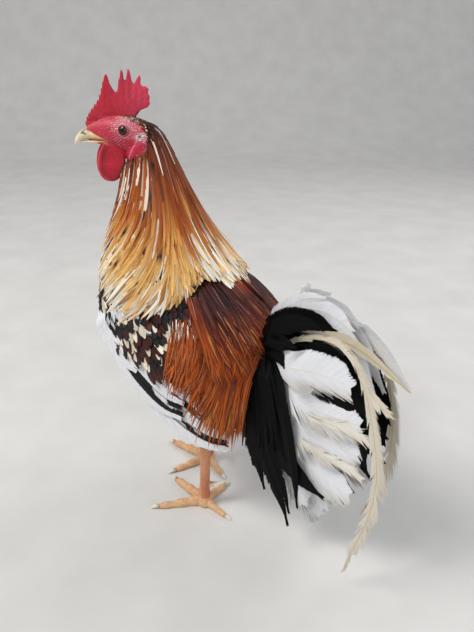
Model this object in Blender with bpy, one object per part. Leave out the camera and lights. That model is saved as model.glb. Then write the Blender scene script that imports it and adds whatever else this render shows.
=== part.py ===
"""A white hackle gamefowl cock, life size, standing still with its head turned to its left.

Metres, +Z up. The bird faces -X, its left side is -Y and both feet stand on z = 0.
Each node is closed solids joined by one union, cut 0.3 mm clear of what it grows from.
"""

import math
import random

import bmesh
import bpy
import numpy as np
from mathutils import Vector
from mathutils.bvhtree import BVHTree

random.seed(21)

GAP = 0.0003
# Welding distance in metres and flatness in degrees, tried in turn on each finished node.
SLIM_STEPS = ((0.00001, 0.9), (0.00001, 0.4), (0.000001, 0.6), (0.000001, 0.2), (0.0, 0.0))
LEFT, RIGHT = -1, 1
SIDES = {LEFT: "left", RIGHT: "right"}

# Head frame: its origin lies between the eyes, turned from the body towards the left.
HEAD_TURN = math.radians(38)
HEAD_AT = np.array([-0.1046, -0.0200, 0.4934])
HEAD_FORWARD = np.array([-math.cos(HEAD_TURN), -math.sin(HEAD_TURN), 0.0])
HEAD_LEFT = np.array([math.sin(HEAD_TURN), -math.cos(HEAD_TURN), 0.0])
UP = np.array([0.0, 0.0, 1.0])

VANE_THICK = 0.0008
LANCET_THICK = 0.0008

COLOURS = {
    "skin_red": (0.62, 0.045, 0.055, 0.45),
    "horn": (0.80, 0.66, 0.45, 0.35),
    "eye": (0.10, 0.035, 0.02, 0.08),
    "hackle": (0.52, 0.20, 0.055, 0.55),
    "body": (0.16, 0.045, 0.03, 0.60),
    "white": (0.80, 0.78, 0.74, 0.60),
    "tail_mix": (0.55, 0.54, 0.52, 0.55),
    "leg": (0.72, 0.40, 0.22, 0.50),
}


# Scene and mesh helpers

def clear_scene():
    for thing in list(bpy.data.objects):
        bpy.data.objects.remove(thing, do_unlink=True)


def new_collection(name):
    made = bpy.data.collections.new(name)
    bpy.context.scene.collection.children.link(made)
    return made


def new_material(name, values):
    made = bpy.data.materials.new(name)
    made.use_nodes = True
    shader = made.node_tree.nodes["Principled BSDF"]
    shader.inputs["Base Color"].default_value = (*values[:3], 1.0)
    shader.inputs["Roughness"].default_value = values[3]
    shader.inputs["Metallic"].default_value = 0.0
    made.diffuse_color = (*values[:3], 1.0)
    return made


def mesh_of(piece, name="piece"):
    """A mesh with outward normals from a piece, which is (points, faces)."""
    points, faces = piece
    mesh = bpy.data.meshes.new(name)
    mesh.from_pydata([tuple(map(float, p)) for p in points], [], [tuple(map(int, f)) for f in faces])
    work = bmesh.new()
    work.from_mesh(mesh)
    bmesh.ops.recalc_face_normals(work, faces=work.faces)
    work.to_mesh(mesh)
    work.free()
    return mesh


def grown(piece, amount=GAP):
    """The piece with every side moved out by amount."""
    mesh = mesh_of(piece)
    work = bmesh.new()
    work.from_mesh(mesh)
    work.normal_update()
    moves = [v.normal * amount * v.calc_shell_factor() for v in work.verts]
    for vert, move in zip(work.verts, moves):
        vert.co += move
    work.verts.index_update()
    points = [tuple(v.co) for v in work.verts]
    faces = [[v.index for v in f.verts] for f in work.faces]
    work.free()
    bpy.data.meshes.remove(mesh)
    return points, faces


def boolean(target, pieces, operation):
    """Apply one Boolean of the target with all the pieces, then drop them."""
    if not pieces:
        return
    tools = new_collection("tools")
    for piece in pieces:
        tool = bpy.data.objects.new("tool", mesh_of(piece))
        tools.objects.link(tool)
    step = target.modifiers.new("join", "BOOLEAN")
    step.operation = operation
    step.operand_type = "COLLECTION"
    step.collection = tools
    step.solver = "MANIFOLD"
    bpy.context.view_layer.update()
    graph = bpy.context.evaluated_depsgraph_get()
    result = bpy.data.meshes.new_from_object(target.evaluated_get(graph))
    target.modifiers.clear()
    old = target.data
    target.data = result
    bpy.data.meshes.remove(old)
    for tool in list(tools.objects):
        data = tool.data
        bpy.data.objects.remove(tool, do_unlink=True)
        bpy.data.meshes.remove(data)
    bpy.data.collections.remove(tools)


def keep_largest(target):
    """Leave only the closed surface that holds the most volume."""
    work = bmesh.new()
    work.from_mesh(target.data)
    seen = set()
    bodies = []
    for start in work.faces:
        if start in seen:
            continue
        group = {start}
        waiting = [start]
        volume = 0.0
        while waiting:
            face = waiting.pop()
            corners = [vert.co for vert in face.verts]
            for second, third in zip(corners[1:-1], corners[2:]):
                volume += corners[0].dot(second.cross(third)) / 6
            for edge in face.edges:
                for other in edge.link_faces if len(edge.link_faces) == 2 else ():
                    if other not in group:
                        group.add(other)
                        waiting.append(other)
        seen |= group
        bodies.append((volume, group))
    largest = max(bodies, key=lambda body: body[0])[1]
    bmesh.ops.delete(work, geom=[f for f in work.faces if f not in largest], context="FACES")
    work.to_mesh(target.data)
    work.free()


def piece_of(thing):
    """The (points, faces) of an object."""
    points = [tuple(v.co) for v in thing.data.vertices]
    return points, [tuple(p.vertices) for p in thing.data.polygons]


def slim(target):
    """Join slivers and flat neighbours that a union leaves, if the surface stays closed."""
    for weld, angle in SLIM_STEPS:
        work = bmesh.new()
        work.from_mesh(target.data)
        bmesh.ops.remove_doubles(work, verts=work.verts, dist=weld)
        bmesh.ops.dissolve_degenerate(work, edges=work.edges, dist=weld)
        bmesh.ops.dissolve_limit(work, angle_limit=math.radians(angle), verts=work.verts, edges=work.edges)
        bmesh.ops.triangulate(work, faces=work.faces)
        if all(len(edge.link_faces) == 2 for edge in work.edges):
            work.to_mesh(target.data)
            work.free()
            return
        work.free()


def dress(thing, material):
    slim(thing)
    thing.data.materials.clear()
    thing.data.materials.append(MATERIALS[material])
    thing.data.shade_smooth()
    thing.data.set_sharp_from_angle(angle=math.radians(35))


def make_node(name, material, pieces, cutters=()):
    """One node: the first piece joined with the rest, then cut clear of the cutters."""
    thing = bpy.data.objects.new(name, mesh_of(pieces[0], name))
    PARTS.objects.link(thing)
    boolean(thing, pieces[1:], "UNION")
    boolean(thing, [grown(cutter) for cutter in cutters], "DIFFERENCE")
    keep_largest(thing)
    dress(thing, material)
    return thing


def make_coated_node(name, material, body, coat, cutters):
    """A node whose coat alone is cut clear of its neighbours before it is joined to the body."""
    coat_thing = bpy.data.objects.new("coat", mesh_of(coat[0]))
    PARTS.objects.link(coat_thing)
    boolean(coat_thing, coat[1:], "UNION")
    boolean(coat_thing, [grown(cutter) for cutter in cutters], "DIFFERENCE")
    clear_coat = piece_of(coat_thing)
    bpy.data.objects.remove(coat_thing, do_unlink=True)
    thing = bpy.data.objects.new(name, mesh_of(body, name))
    PARTS.objects.link(thing)
    boolean(thing, [clear_coat], "UNION")
    keep_largest(thing)
    dress(thing, material)
    return thing


# Shape helpers

def unit(vector):
    vector = np.asarray(vector, float)
    return vector / np.linalg.norm(vector, axis=-1, keepdims=True)


def smooth_rows(rows, count):
    """Rows of numbers drawn through the given rows by a Catmull-Rom curve."""
    rows = np.asarray(rows, float)
    padded = np.vstack([2 * rows[0] - rows[1], rows, 2 * rows[-1] - rows[-2]])
    made = []
    for step in np.linspace(0, len(rows) - 1, count):
        first = min(int(step), len(rows) - 2)
        t = step - first
        a, b, c, d = padded[first : first + 4]
        square = 2 * a - 5 * b + 4 * c - d
        cube = 3 * b - a - 3 * c + d
        made.append(0.5 * (2 * b + (c - a) * t + square * t**2 + cube * t**3))
    return np.array(made)


def oval(centre, long_half, side_half, count=20, power=2.2):
    """A closed ring round centre; long_half and side_half are its two half axes as vectors."""
    angle = np.arange(count) * 2 * math.pi / count
    along = np.sign(np.cos(angle)) * np.abs(np.cos(angle)) ** (2 / power)
    aside = np.sign(np.sin(angle)) * np.abs(np.sin(angle)) ** (2 / power)
    return np.asarray(centre) + np.outer(along, long_half) + np.outer(aside, side_half)


def loft(rings):
    """A closed skin through rings of equal count, each end shut by a fan."""
    count = len(rings[0])
    points = np.vstack([*rings, rings[0].mean(axis=0), rings[-1].mean(axis=0)])
    faces = []
    for row in range(len(rings) - 1):
        for j in range(count):
            a, b = row * count + j, row * count + (j + 1) % count
            faces += [(a, b, b + count), (a, b + count, a + count)]
    start, end = len(points) - 2, len(points) - 1
    last = (len(rings) - 1) * count
    for j in range(count):
        faces += [(start, (j + 1) % count, j), (end, last + j, last + (j + 1) % count)]
    return points, faces


def tube(path, radii, count=10, flat=1.0, up=UP):
    """A closed tube along path; flat scales its half height against its half width."""
    path = np.asarray(path, float)
    tangent = unit(np.gradient(path, axis=0))
    across = unit(np.cross(tangent, up))
    face = np.cross(across, tangent)
    return loft([
        oval(p, f * r * flat, a * r, count, 2.0) for p, f, a, r in zip(path, face, across, radii)
    ])


def ball(centre, radii, count=12, rows=7):
    """A closed round body with half sizes radii along X, Y and Z."""
    rings = []
    for angle in np.linspace(0.08, math.pi - 0.08, rows):
        size = math.sin(angle)
        at = np.asarray(centre) + UP * radii[2] * math.cos(angle)
        wide, deep = np.diag([radii[0] * size, radii[1] * size, 0.0])[:2]
        rings.append(oval(at, wide, deep, count, 2.0))
    return loft(rings)


def vane(path, widths, facing, thick=VANE_THICK, tip_thick=0.0005):
    """A flat closed blade with four-sided sections, both faces split along the same diagonals."""
    path = np.asarray(path, float)
    tangent = unit(np.gradient(path, axis=0))
    across = unit(np.cross(tangent, np.broadcast_to(facing, path.shape)))
    face = np.cross(across, tangent)
    depth = np.full(len(path), thick)
    depth[-1] = tip_thick
    points = []
    for p, a, f, w, t in zip(path, across, face, widths, depth):
        for side, level in ((-1, 1), (1, 1), (1, -1), (-1, -1)):
            points.append(p + a * side * w / 2 + f * level * t / 2)
    faces = [(0, 1, 2), (0, 2, 3)]
    for row in range(len(path) - 1):
        a, b = 4 * row, 4 * row + 4
        faces += [(a, a + 1, b + 1), (a, b + 1, b)]
        faces += [(a + 3, b + 2, a + 2), (a + 3, b + 3, b + 2)]
        faces += [(a + 1, a + 2, b + 2), (a + 1, b + 2, b + 1)]
        faces += [(a, b, b + 3), (a, b + 3, a + 3)]
    last = 4 * len(path) - 4
    faces += [(last, last + 2, last + 1), (last, last + 3, last + 2)]
    return points, faces


def joined(pieces):
    """Several pieces as one list of points and faces, for a search tree."""
    points, faces = [], []
    for piece in pieces:
        start = len(points)
        points += [tuple(p) for p in piece[0]]
        faces += [tuple(start + i for i in f) for f in piece[1]]
    return points, faces


def tree_of(pieces):
    meshes = [mesh_of(piece) for piece in pieces]
    outward = []
    for mesh in meshes:
        outward.append(([tuple(v.co) for v in mesh.vertices], [tuple(p.vertices) for p in mesh.polygons]))
        bpy.data.meshes.remove(mesh)
    points, faces = joined(outward)
    return BVHTree.FromPolygons(points, faces)


def lifted(path, trees, clear, first=1):
    """The path with each point from the first on moved out to stand clear of the bodies."""
    made = [Vector(map(float, p)) for p in path]
    for i in range(first, len(made)):
        for tree in trees:
            spot, normal, _, _ = tree.find_nearest(made[i])
            if (made[i] - spot).dot(normal) < clear:
                made[i] = spot + normal * clear
    return np.array([tuple(p) for p in made])


# Torso

# Top x, z, bottom x, z and half width, from the tail root forward to the base of the neck.
TORSO_ROWS = [
    (0.100, 0.268, 0.098, 0.225, 0.022),
    (0.075, 0.292, 0.072, 0.188, 0.042),
    (0.045, 0.318, 0.040, 0.160, 0.056),
    (0.010, 0.343, -0.005, 0.140, 0.064),
    (-0.015, 0.362, -0.060, 0.142, 0.068),
    (-0.030, 0.378, -0.112, 0.170, 0.068),
    (-0.040, 0.394, -0.148, 0.220, 0.060),
    (-0.048, 0.410, -0.158, 0.275, 0.050),
]


def torso_core():
    rings = []
    for top_x, top_z, low_x, low_z, half in smooth_rows(TORSO_ROWS, 12):
        top = np.array([top_x, 0, top_z])
        low = np.array([low_x, 0, low_z])
        rings.append(oval((top + low) / 2, (top - low) / 2, np.array([0, -half, 0]), 16, 2.2))
    return loft(rings)


# Saddle hackles on each side: two tiers, how many, where the tips hang and how wide they are.
SADDLE_TIERS = [
    {"count": 6, "tip_x": (-0.016, 0.104), "tip_z": (0.266, 0.200), "out": 0.0915, "width": 0.020},
    {"count": 6, "tip_x": (0.006, 0.128), "tip_z": (0.230, 0.146), "out": 0.086, "width": 0.019},
]
SADDLE_ROOT_X = (-0.006, 0.088)
LANCET_SHAPE = (0.55, 1.0, 0.78, 0.14)
# Which way a saddle lancet's face looks at each place along it, outward and up.
SADDLE_FACING = ((0.5, 1.0), (0.6, 0.8), (1.0, 0.55), (1.0, 0.2))


def saddle(core_tree, obstacles):
    """Lancets from the back, hanging down over both flanks; the upper tier lies over the lower."""
    pieces = []
    for side in SIDES:
        for tier, row in enumerate(SADDLE_TIERS):
            for i in range(row["count"]):
                t = (i + 0.5 * tier) / (row["count"] - 0.5)
                root_x = np.interp(t, (0, 1), SADDLE_ROOT_X)
                tip_x = np.interp(t, (0, 1), row["tip_x"]) + random.uniform(-0.003, 0.003)
                tip_z = np.interp(min(1.0, t * 1.45), (0, 1), row["tip_z"]) + random.uniform(-0.006, 0.006)
                out = side * (row["out"] - 0.028 * t)
                over = Vector((root_x, side * (0.020 + 0.014 * tier) * (1 - 0.6 * t), 0.38))
                spot, normal, _, _ = core_tree.find_nearest(over)
                start = np.array(spot + normal * (0.0070 - 0.0045 * tier))
                tip = np.array([tip_x, out, tip_z])
                bend = start * 0.60 + tip * 0.40
                bend[1] = out * 0.82
                bend[2] += 0.006
                path = np.array([spot - normal * 0.005, start * 0.88 + bend * 0.12, bend, tip])
                path = lifted(path, obstacles, 0.0012 + 0.0022 * (1 - tier))
                facing = np.array([[0, side * out, up] for out, up in SADDLE_FACING])
                pieces.append(vane(path, np.array(LANCET_SHAPE) * row["width"], facing, LANCET_THICK))
    return pieces


# Neck and hackle

def head_point(forward, left, up):
    """A point in the head frame, given in millimetres."""
    return HEAD_AT + (HEAD_FORWARD * forward + HEAD_LEFT * left + UP * up) / 1000


def turned_ring(front, back, half, turn, count):
    side = np.array([math.sin(math.radians(turn)), -math.cos(math.radians(turn)), 0])
    front, back = np.asarray(front), np.asarray(back)
    return oval((front + back) / 2, (back - front) / 2, side * half, count, 2.1)


NECK_SIDES = 16
NECK_SUNK = 0.003
# Front point, back point, half width and turn in degrees, from the torso up to the skull.
NECK_ROWS = [
    (-0.158, 0.0, 0.275, -0.048, 0.0, 0.410, 0.050, 0),
    (-0.150, 0.0, 0.325, -0.055, 0.0, 0.428, 0.040, 5),
    (-0.132, -0.004, 0.378, -0.058, 0.001, 0.448, 0.031, 15),
    (*head_point(-6, 0, -52), *head_point(-48, 0, -28), 0.024, 30),
    (*head_point(-2, 0, -38), *head_point(-38, 0, -8), 0.020, 38),
]
# The same for the outer face of the hackle, from the head down to the skirt.
CAPE_ROWS = [
    (*head_point(-6, 0, -42), *head_point(-20, 0, 12), 0.019, 38),
    (*head_point(2, 0, -56), *head_point(-38, 0, 5), 0.026, 34),
    (*head_point(8, 0, -68), *head_point(-52, 0, -16), 0.034, 28),
    (-0.140, -0.006, 0.385, -0.012, 0.002, 0.408, 0.049, 12),
    (-0.155, -0.002, 0.345, 0.020, 0.0, 0.368, 0.063, 4),
    (-0.167, 0.0, 0.305, 0.050, 0.0, 0.338, 0.074, 0),
    (-0.167, 0.0, 0.262, 0.075, 0.0, 0.312, 0.080, 0),
]


def neck_rings(rows, count, steps):
    return [turned_ring(r[:3], r[3:6], r[6], r[7], count) for r in smooth_rows(rows, steps)]


def upward_normal(ring):
    """The direction square to a ring, on its upper side."""
    quarter = len(ring) // 4
    normal = unit(np.cross(ring[quarter] - ring[0], ring[2 * quarter] - ring[0]))
    return normal if normal[2] > 0 else -normal


def sunk_end(ring, way):
    """A smaller ring a little way into the neighbour."""
    middle = ring.mean(axis=0)
    return middle + (ring - middle) * 0.85 + upward_normal(ring) * way * NECK_SUNK


def neck_core():
    """The neck inside the coat; both ends reach into their neighbours, which cut them clear."""
    rings = neck_rings(NECK_ROWS, NECK_SIDES, 7)
    return loft([sunk_end(rings[0], -1), *rings, sunk_end(rings[-1], 1)])


# Hackle rows from the head down: how many lancets, where they start and end along the cape,
# how wide they are and how far they keep off the wings and the back.
HACKLE_ROWS = [
    {"count": 6, "start": 0.00, "end": 0.26, "width": 0.0120, "lift": 0.0022},
    {"count": 7, "start": 0.13, "end": 0.44, "width": 0.0150, "lift": 0.0022},
    {"count": 9, "start": 0.28, "end": 0.62, "width": 0.0190, "lift": 0.0022},
    {"count": 10, "start": 0.42, "end": 0.81, "width": 0.0220, "lift": 0.0055},
    {"count": 12, "start": 0.54, "end": 1.00, "width": 0.0230, "lift": 0.0022},
]
# How far out of the coat a lancet stands at three places along it.
HACKLE_RISE = ((0.22, 0.80), (0.60, 0.90), (1.0, 0.99))


def cape_place(v, angle):
    """A point on the outer face of the hackle and the middle of its ring; v runs from head to skirt."""
    row = smooth_rows(CAPE_ROWS, 61)[min(60, int(round(v * 60)))]
    front, back = row[:3], row[3:6]
    side = np.array([math.sin(math.radians(row[7])), -math.cos(math.radians(row[7])), 0])
    middle = (front + back) / 2
    return middle + (back - middle) * math.cos(angle) + side * row[6] * math.sin(angle), middle


def inner_cape():
    """The dense inner coat, which fills less than half of the hackle's depth."""
    rings = neck_rings(CAPE_ROWS, 12, 13)[2:9:2]
    return loft([ring.mean(axis=0) + (ring - ring.mean(axis=0)) * 0.68 for ring in rings])


def hackle(core_tree, obstacles):
    pieces = []
    for number, row in enumerate(HACKLE_ROWS):
        for i in range(row["count"]):
            angle = 2 * math.pi * (i + 0.5 * (number % 2) + random.uniform(-0.12, 0.12)) / row["count"]
            end = row["end"] + random.uniform(-0.025, 0.02)
            place, middle = cape_place(row["start"], angle)
            spot, normal, _, _ = core_tree.find_nearest(Vector(place))
            path = [np.array(spot - normal * 0.004)]
            facing = [unit(place - middle)]
            for along, stand in HACKLE_RISE:
                v = min(1.0, row["start"] + (end - row["start"]) * along)
                place, middle = cape_place(v, angle)
                path.append(middle + (place - middle) * (stand + random.uniform(-0.006, 0.006)))
                facing.append(unit(place - middle))
            path = lifted(np.array(path), obstacles, row["lift"])
            pieces.append(vane(path, np.array(LANCET_SHAPE) * row["width"], np.array(facing), LANCET_THICK))
    return pieces


# Wings

WRIST = (-0.125, 0.285)
WING_ALONG = np.array([0.795, 0.0, -0.606])
WING_UP = np.array([0.606, 0.0, 0.795])
# Distance along the wing, low edge, high edge, how far out its middle lies and its half thickness.
WING_ROWS = [
    (0.000, -0.014, 0.022, 0.058, 0.008),
    (0.020, -0.026, 0.038, 0.061, 0.009),
    (0.060, -0.035, 0.050, 0.063, 0.009),
    (0.110, -0.040, 0.052, 0.064, 0.0085),
    (0.160, -0.043, 0.040, 0.062, 0.008),
    (0.205, -0.040, 0.018, 0.060, 0.0065),
    (0.250, -0.030, -0.006, 0.058, 0.004),
]


def wing_point(side, along, up, out):
    start = np.array([WRIST[0], 0.0, WRIST[1]])
    return start + WING_ALONG * along + WING_UP * up + np.array([0, side * out, 0])


def wing_core(side, wider=0.0, thicker=0.0):
    """The body of the wing; grown wider and thicker it is the shape that the coat lies over."""
    rings = []
    for along, low, high, out, half in smooth_rows(WING_ROWS, 8):
        centre = wing_point(side, along, (low + high) / 2, out)
        thick = np.array([0, side * (half + thicker), 0])
        rings.append(oval(centre, WING_UP * ((high - low) / 2 + wider), thick, 12, 2.4))
    return loft(rings)


def wing_outside(along):
    """How far from the middle of the body the wing's outer face lies there."""
    stations = [row[0] for row in WING_ROWS]
    out = np.interp(along, stations, [row[3] for row in WING_ROWS])
    return out + np.interp(along, stations, [row[4] for row in WING_ROWS])


# The tiers of the wing's vanes: how many, first and last root and tip as along, up,
# the width and how far each lies off the face of the wing.
WING_TIERS = [
    {
        "count": 5, "width": 0.015, "off": 0.0014,
        "root": ((0.070, -0.022), (0.086, 0.008)), "tip": ((0.274, -0.038), (0.244, -0.004)),
    },
    {
        "count": 6, "width": 0.020, "off": 0.0040,
        "root": ((0.034, -0.026), (0.052, 0.032)), "tip": ((0.238, -0.049), (0.162, 0.034)),
    },
    {
        "count": 5, "width": 0.019, "off": 0.0066,
        "root": ((0.016, -0.014), (0.030, 0.028)), "tip": ((0.108, -0.026), (0.088, 0.038)),
    },
]
FLIGHT_SHAPE = (0.50, 0.90, 1.0, 0.22)


def wing_vanes(side):
    pieces = []
    for row in WING_TIERS:
        for i in range(row["count"]):
            t = i / (row["count"] - 1)
            root = np.array(row["root"][0]) * (1 - t) + np.array(row["root"][1]) * t
            tip = np.array(row["tip"][0]) * (1 - t) + np.array(row["tip"][1]) * t
            tip[0] += random.uniform(-0.003, 0.003)
            path = []
            for along in (0.0, 0.14, 0.60, 1.0):
                place = root * (1 - along) + tip * along
                place[1] -= 0.006 * math.sin(math.pi * along)
                off = -0.0040 if along == 0.0 else row["off"]
                path.append(wing_point(side, place[0], place[1], wing_outside(place[0]) + off))
            # The low edge of each vane stands out and its high edge lies under the next one.
            facing = np.array([0, side, 0.0]) + WING_UP * 0.09
            pieces.append(vane(path, np.array(FLIGHT_SHAPE) * row["width"], facing))
    return pieces


# Legs and feet

HIPS = {LEFT: (0.018, 0.045, 0.195), RIGHT: (-0.012, 0.043, 0.195)}
HOCKS = {LEFT: (0.040, 0.046, 0.106), RIGHT: (-0.018, 0.040, 0.106)}
FEET = {LEFT: (0.031, 0.042), RIGHT: (-0.029, 0.035)}
# Each toe's tip as x, y on the floor.
TOES = {
    LEFT: {
        "middle": (-0.031, -0.032),
        "outer": (-0.012, -0.088),
        "inner": (0.032, 0.001),
        "hind": (0.071, -0.046),
    },
    RIGHT: {
        "middle": (-0.098, 0.034),
        "outer": (-0.070, 0.082),
        "inner": (-0.049, -0.016),
        "hind": (0.011, 0.020),
    },
}
TOE_RADIUS = {"middle": 0.0062, "outer": 0.0054, "inner": 0.0054, "hind": 0.0044}
SHANK_RADIUS = 0.0074
CLAW_LONG = 0.012
# Place along the claw, its size and how high it runs, both as shares of its root radius.
CLAW_ROWS = ((0.0, 1.0, 1.35), (0.35, 0.92, 1.45), (0.70, 0.64, 1.10), (1.0, 0.18, 0.42))


def thigh(side):
    hip = np.array([HIPS[side][0], side * HIPS[side][1], HIPS[side][2]])
    hock = np.array([HOCKS[side][0], side * HOCKS[side][1], HOCKS[side][2]])
    middle = hip * 0.6 + hock * 0.4 + np.array([-0.004, 0, 0])
    path = smooth_rows([hip, middle, hock * 0.75 + middle * 0.25, hock], 7)
    radii = smooth_rows([[0.030], [0.024], [0.0135], [0.0090]], 7)[:, 0]
    return tube(path, radii, 10, up=np.array([1.0, 0, 0]))


def shank(side):
    hock = np.array([HOCKS[side][0], side * HOCKS[side][1], HOCKS[side][2] + 0.004])
    foot = np.array([FEET[side][0], side * FEET[side][1], 0.017])
    rings = []
    steps = 11
    for i in range(steps):
        t = i / (steps - 1)
        at = hock * (1 - t) + foot * t
        knuckle = 0.0020 * math.exp(-((t / 0.10) ** 2)) + 0.0016 * math.exp(-(((1 - t) / 0.12) ** 2))
        radius = SHANK_RADIUS - 0.0006 * math.sin(math.pi * t) + knuckle + (0.0003 if i % 2 else -0.0002)
        rings.append(oval(at, np.array([radius * 1.12, 0, 0]), np.array([0, radius * 0.9, 0]), 8, 2.0))
    return loft(rings)


def toe_line(side, toe):
    base = np.array([FEET[side][0], side * FEET[side][1], 0.0])
    tip = np.array([*TOES[side][toe], 0.0])
    return base, tip, unit(tip - base)


def toe(side, name):
    base, tip, ahead = toe_line(side, name)
    radius = TOE_RADIUS[name]
    length = np.linalg.norm(tip - base)
    rings = []
    steps = 6 if name == "hind" else 7
    for i in range(steps):
        t = i / (steps - 1)
        pad = 0.10 * math.cos(2 * math.pi * (t * (2 if name == "hind" else 3) + 0.5))
        size = radius * (1.10 - 0.38 * t + pad)
        high = size * 1.0 + (1 - t) ** 2 * 0.003
        at = base + ahead * (0.002 + (length - 0.002) * t) + UP * high * 0.82
        aside = np.cross(UP, ahead)
        ring = oval(at, UP * high, aside * size, 6, 2.4)
        ring[:, 2] = np.maximum(ring[:, 2], 0.0)
        rings.append(ring)
    return loft(rings)


def foot_pad(side):
    rings = []
    for z, size in ((0.0, 0.0085), (0.005, 0.0112), (0.0167, 0.0082)):
        at = np.array([FEET[side][0], side * FEET[side][1], z])
        rings.append(oval(at, np.array([size * 1.1, 0, 0]), np.array([0, size, 0]), 8, 2.0))
    return loft(rings)


def claw(side, name):
    """A curved claw whose flat root stands just ahead of the end of its toe."""
    base, tip, ahead = toe_line(side, name)
    radius = TOE_RADIUS[name] * 0.52
    aside = np.cross(UP, ahead)
    rings = []
    for along, size, height in CLAW_ROWS:
        at = tip + ahead * (GAP + CLAW_LONG * along) + UP * radius * height
        rings.append(oval(at, UP * radius * size * 1.1, aside * radius * size, 6, 2.0))
    return loft(rings)


def spur(side):
    z = 0.036
    t = z / HOCKS[side][2]
    axis_x = FEET[side][0] * (1 - t) + HOCKS[side][0] * t
    axis_y = side * (FEET[side][1] * (1 - t) + HOCKS[side][1] * t)
    away = unit(np.array([0.80, -side * 0.60, 0.0]))
    start = np.array([axis_x, axis_y, z]) + away * 0.004
    bend = start + away * 0.017 + UP * 0.0025
    tip = start + away * 0.022 + UP * 0.007
    path = smooth_rows([start, start + away * 0.010, bend, tip], 5)
    return tube(path, [0.0042, 0.0037, 0.0029, 0.0019, 0.0007], 7)


# Head

# Forward place, top, bottom and half width in millimetres, from the back of the skull to the beak.
SKULL_ROWS = [
    (-38, 0, -18, 9),
    (-34, 6, -26, 14),
    (-24, 12, -33, 18),
    (-10, 16, -31, 18.5),
    (4, 17, -26, 17),
    (18, 16, -21, 14),
    (30, 12.5, -17, 10.5),
    (39, 9, -14, 8),
    (45, 6.5, -11.5, 6.5),
]
EYE_AT = (-2.6, 11.5, 1.6)
EYE_RADIUS = 7.6
EAR_AT = (-21, 19.5, -6)
EAR_RADIUS = 4.4
# The line of the mouth on the left side, behind the beak, and the nostril, with their radii.
GAPE_LINE = ((44.0, 5.0, -10.4), (36.0, 7.6, -10.8), (30.0, 8.9, -10.9), (24.5, 11.0, -10.6))
GAPE_RADIUS = 0.0008
NOSTRIL = ((47.5, 6.2, -3.8), (50.2, 5.4, -2.8), (53.0, 4.7, -2.4))
NOSTRIL_RADII = (0.0006, 0.0013, 0.0006)


def skull():
    rings = []
    for forward, top, low, half in smooth_rows(SKULL_ROWS, 10):
        centre = head_point(forward, 0, (top + low) / 2)
        rings.append(oval(centre, UP * (top - low) / 2000, HEAD_LEFT * half / 1000, 14, 2.15))
    return loft(rings)


def neck_stub():
    """The short top of the neck that belongs to the head."""
    top = NECK_ROWS[-1]
    ring = turned_ring(top[:3], top[3:6], top[6], top[7], NECK_SIDES)
    middle = ring.mean(axis=0)
    inner = head_point(-12, 0, -8)
    rings = [ring]
    for t, size in ((0.4, 0.96), (0.8, 0.85)):
        rings.append(middle + (ring - middle) * size + (inner - middle) * t)
    return loft(rings)


def head_ball(at, radius, count, rows):
    return ball(head_point(*at), (radius / 1000,) * 3, count, rows)


def ring_round(at, outward, radius, thick, count):
    """A closed ring of small round section lying in the plane across outward."""
    outward = unit(outward)
    first = unit(np.cross(outward, UP))
    second = np.cross(outward, first)
    points, faces = [], []
    around = 4
    for i in range(count):
        angle = 2 * math.pi * i / count
        spoke = first * math.cos(angle) + second * math.sin(angle)
        for j in range(around):
            turn = 2 * math.pi * j / around
            points.append(at + spoke * (radius + thick * math.cos(turn)) + outward * thick * math.sin(turn))
            a, b = i * around + j, i * around + (j + 1) % around
            c, d = (a + around) % (count * around), (b + around) % (count * around)
            faces.append((a, b, d, c))
    return points, faces


def side_tube(places, side, radii, count):
    """A tube through places in the head frame, which are given for the left side."""
    return tube([head_point(forward, -side * left, up) for forward, left, up in places], radii, count)


# Each spike of the comb: where it starts and its tip, forward and up, with its width, in millimetres.
COMB_SPIKES = [
    (38, 12, 42, 20, 10),
    (34, 16, 34, 30, 12),
    (28, 20, 26.5, 40, 13),
    (20, 28, 17.5, 64.5, 17),
    (6, 30, -1, 70, 14),
    (-2, 30, -9, 71, 14),
    (-10, 30, -22.5, 63.5, 15),
    (-15, 28, -32, 48, 15),
    (-15, 30, -33, 37, 15),
]
COMB_ROWS = [
    (46.5, 7.0, 12.0, 2.2),
    (41, 7.0, 18.0, 3.2),
    (32, 9.0, 28.0, 3.6),
    (20, 13.0, 43.0, 3.8),
    (8, 15.0, 46.0, 3.8),
    (-4, 16.5, 55.0, 3.6),
    (-16, 21.0, 54.0, 2.8),
    (-31, 27.5, 44.0, 1.6),
]


def comb():
    rings = []
    for forward, low, high, half in smooth_rows(COMB_ROWS, 10):
        centre = head_point(forward, 0, (low + high) / 2)
        rings.append(oval(centre, UP * (high - low) / 2000, HEAD_LEFT * half / 1000, 8, 2.3))
    pieces = [loft(rings)]
    for forward, up, tip_forward, tip_up, width in COMB_SPIKES:
        root, tip = head_point(forward, 0, up), head_point(tip_forward, 0, tip_up)
        path = [root, root * 0.4 + tip * 0.6, tip]
        pieces.append(tube(path, np.array([1.0, 0.60, 0.10]) * width / 2000, 6, flat=0.32, up=HEAD_LEFT))
    return pieces


# Upper beak: place forward, top, bottom and half width in millimetres.
BEAK_TOP_ROWS = [
    (24.0, -7.0, -10.2, 3.5),
    (34.0, 1.0, -10.6, 6.6),
    (45.3, 3.2, -10.2, 6.4),
    (52.0, 0.8, -11.8, 5.0),
    (58.0, -4.5, -14.5, 3.4),
    (61.5, -10.0, -18.0, 1.9),
    (62.6, -16.0, -20.5, 0.7),
]
BEAK_LOW_ROWS = [
    (24.0, -10.7, -13.5, 3.5),
    (34.0, -11.2, -15.0, 5.6),
    (44.0, -11.0, -14.6, 4.8),
    (52.0, -12.6, -14.6, 2.6),
    (55.0, -13.6, -14.6, 1.2),
]


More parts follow.
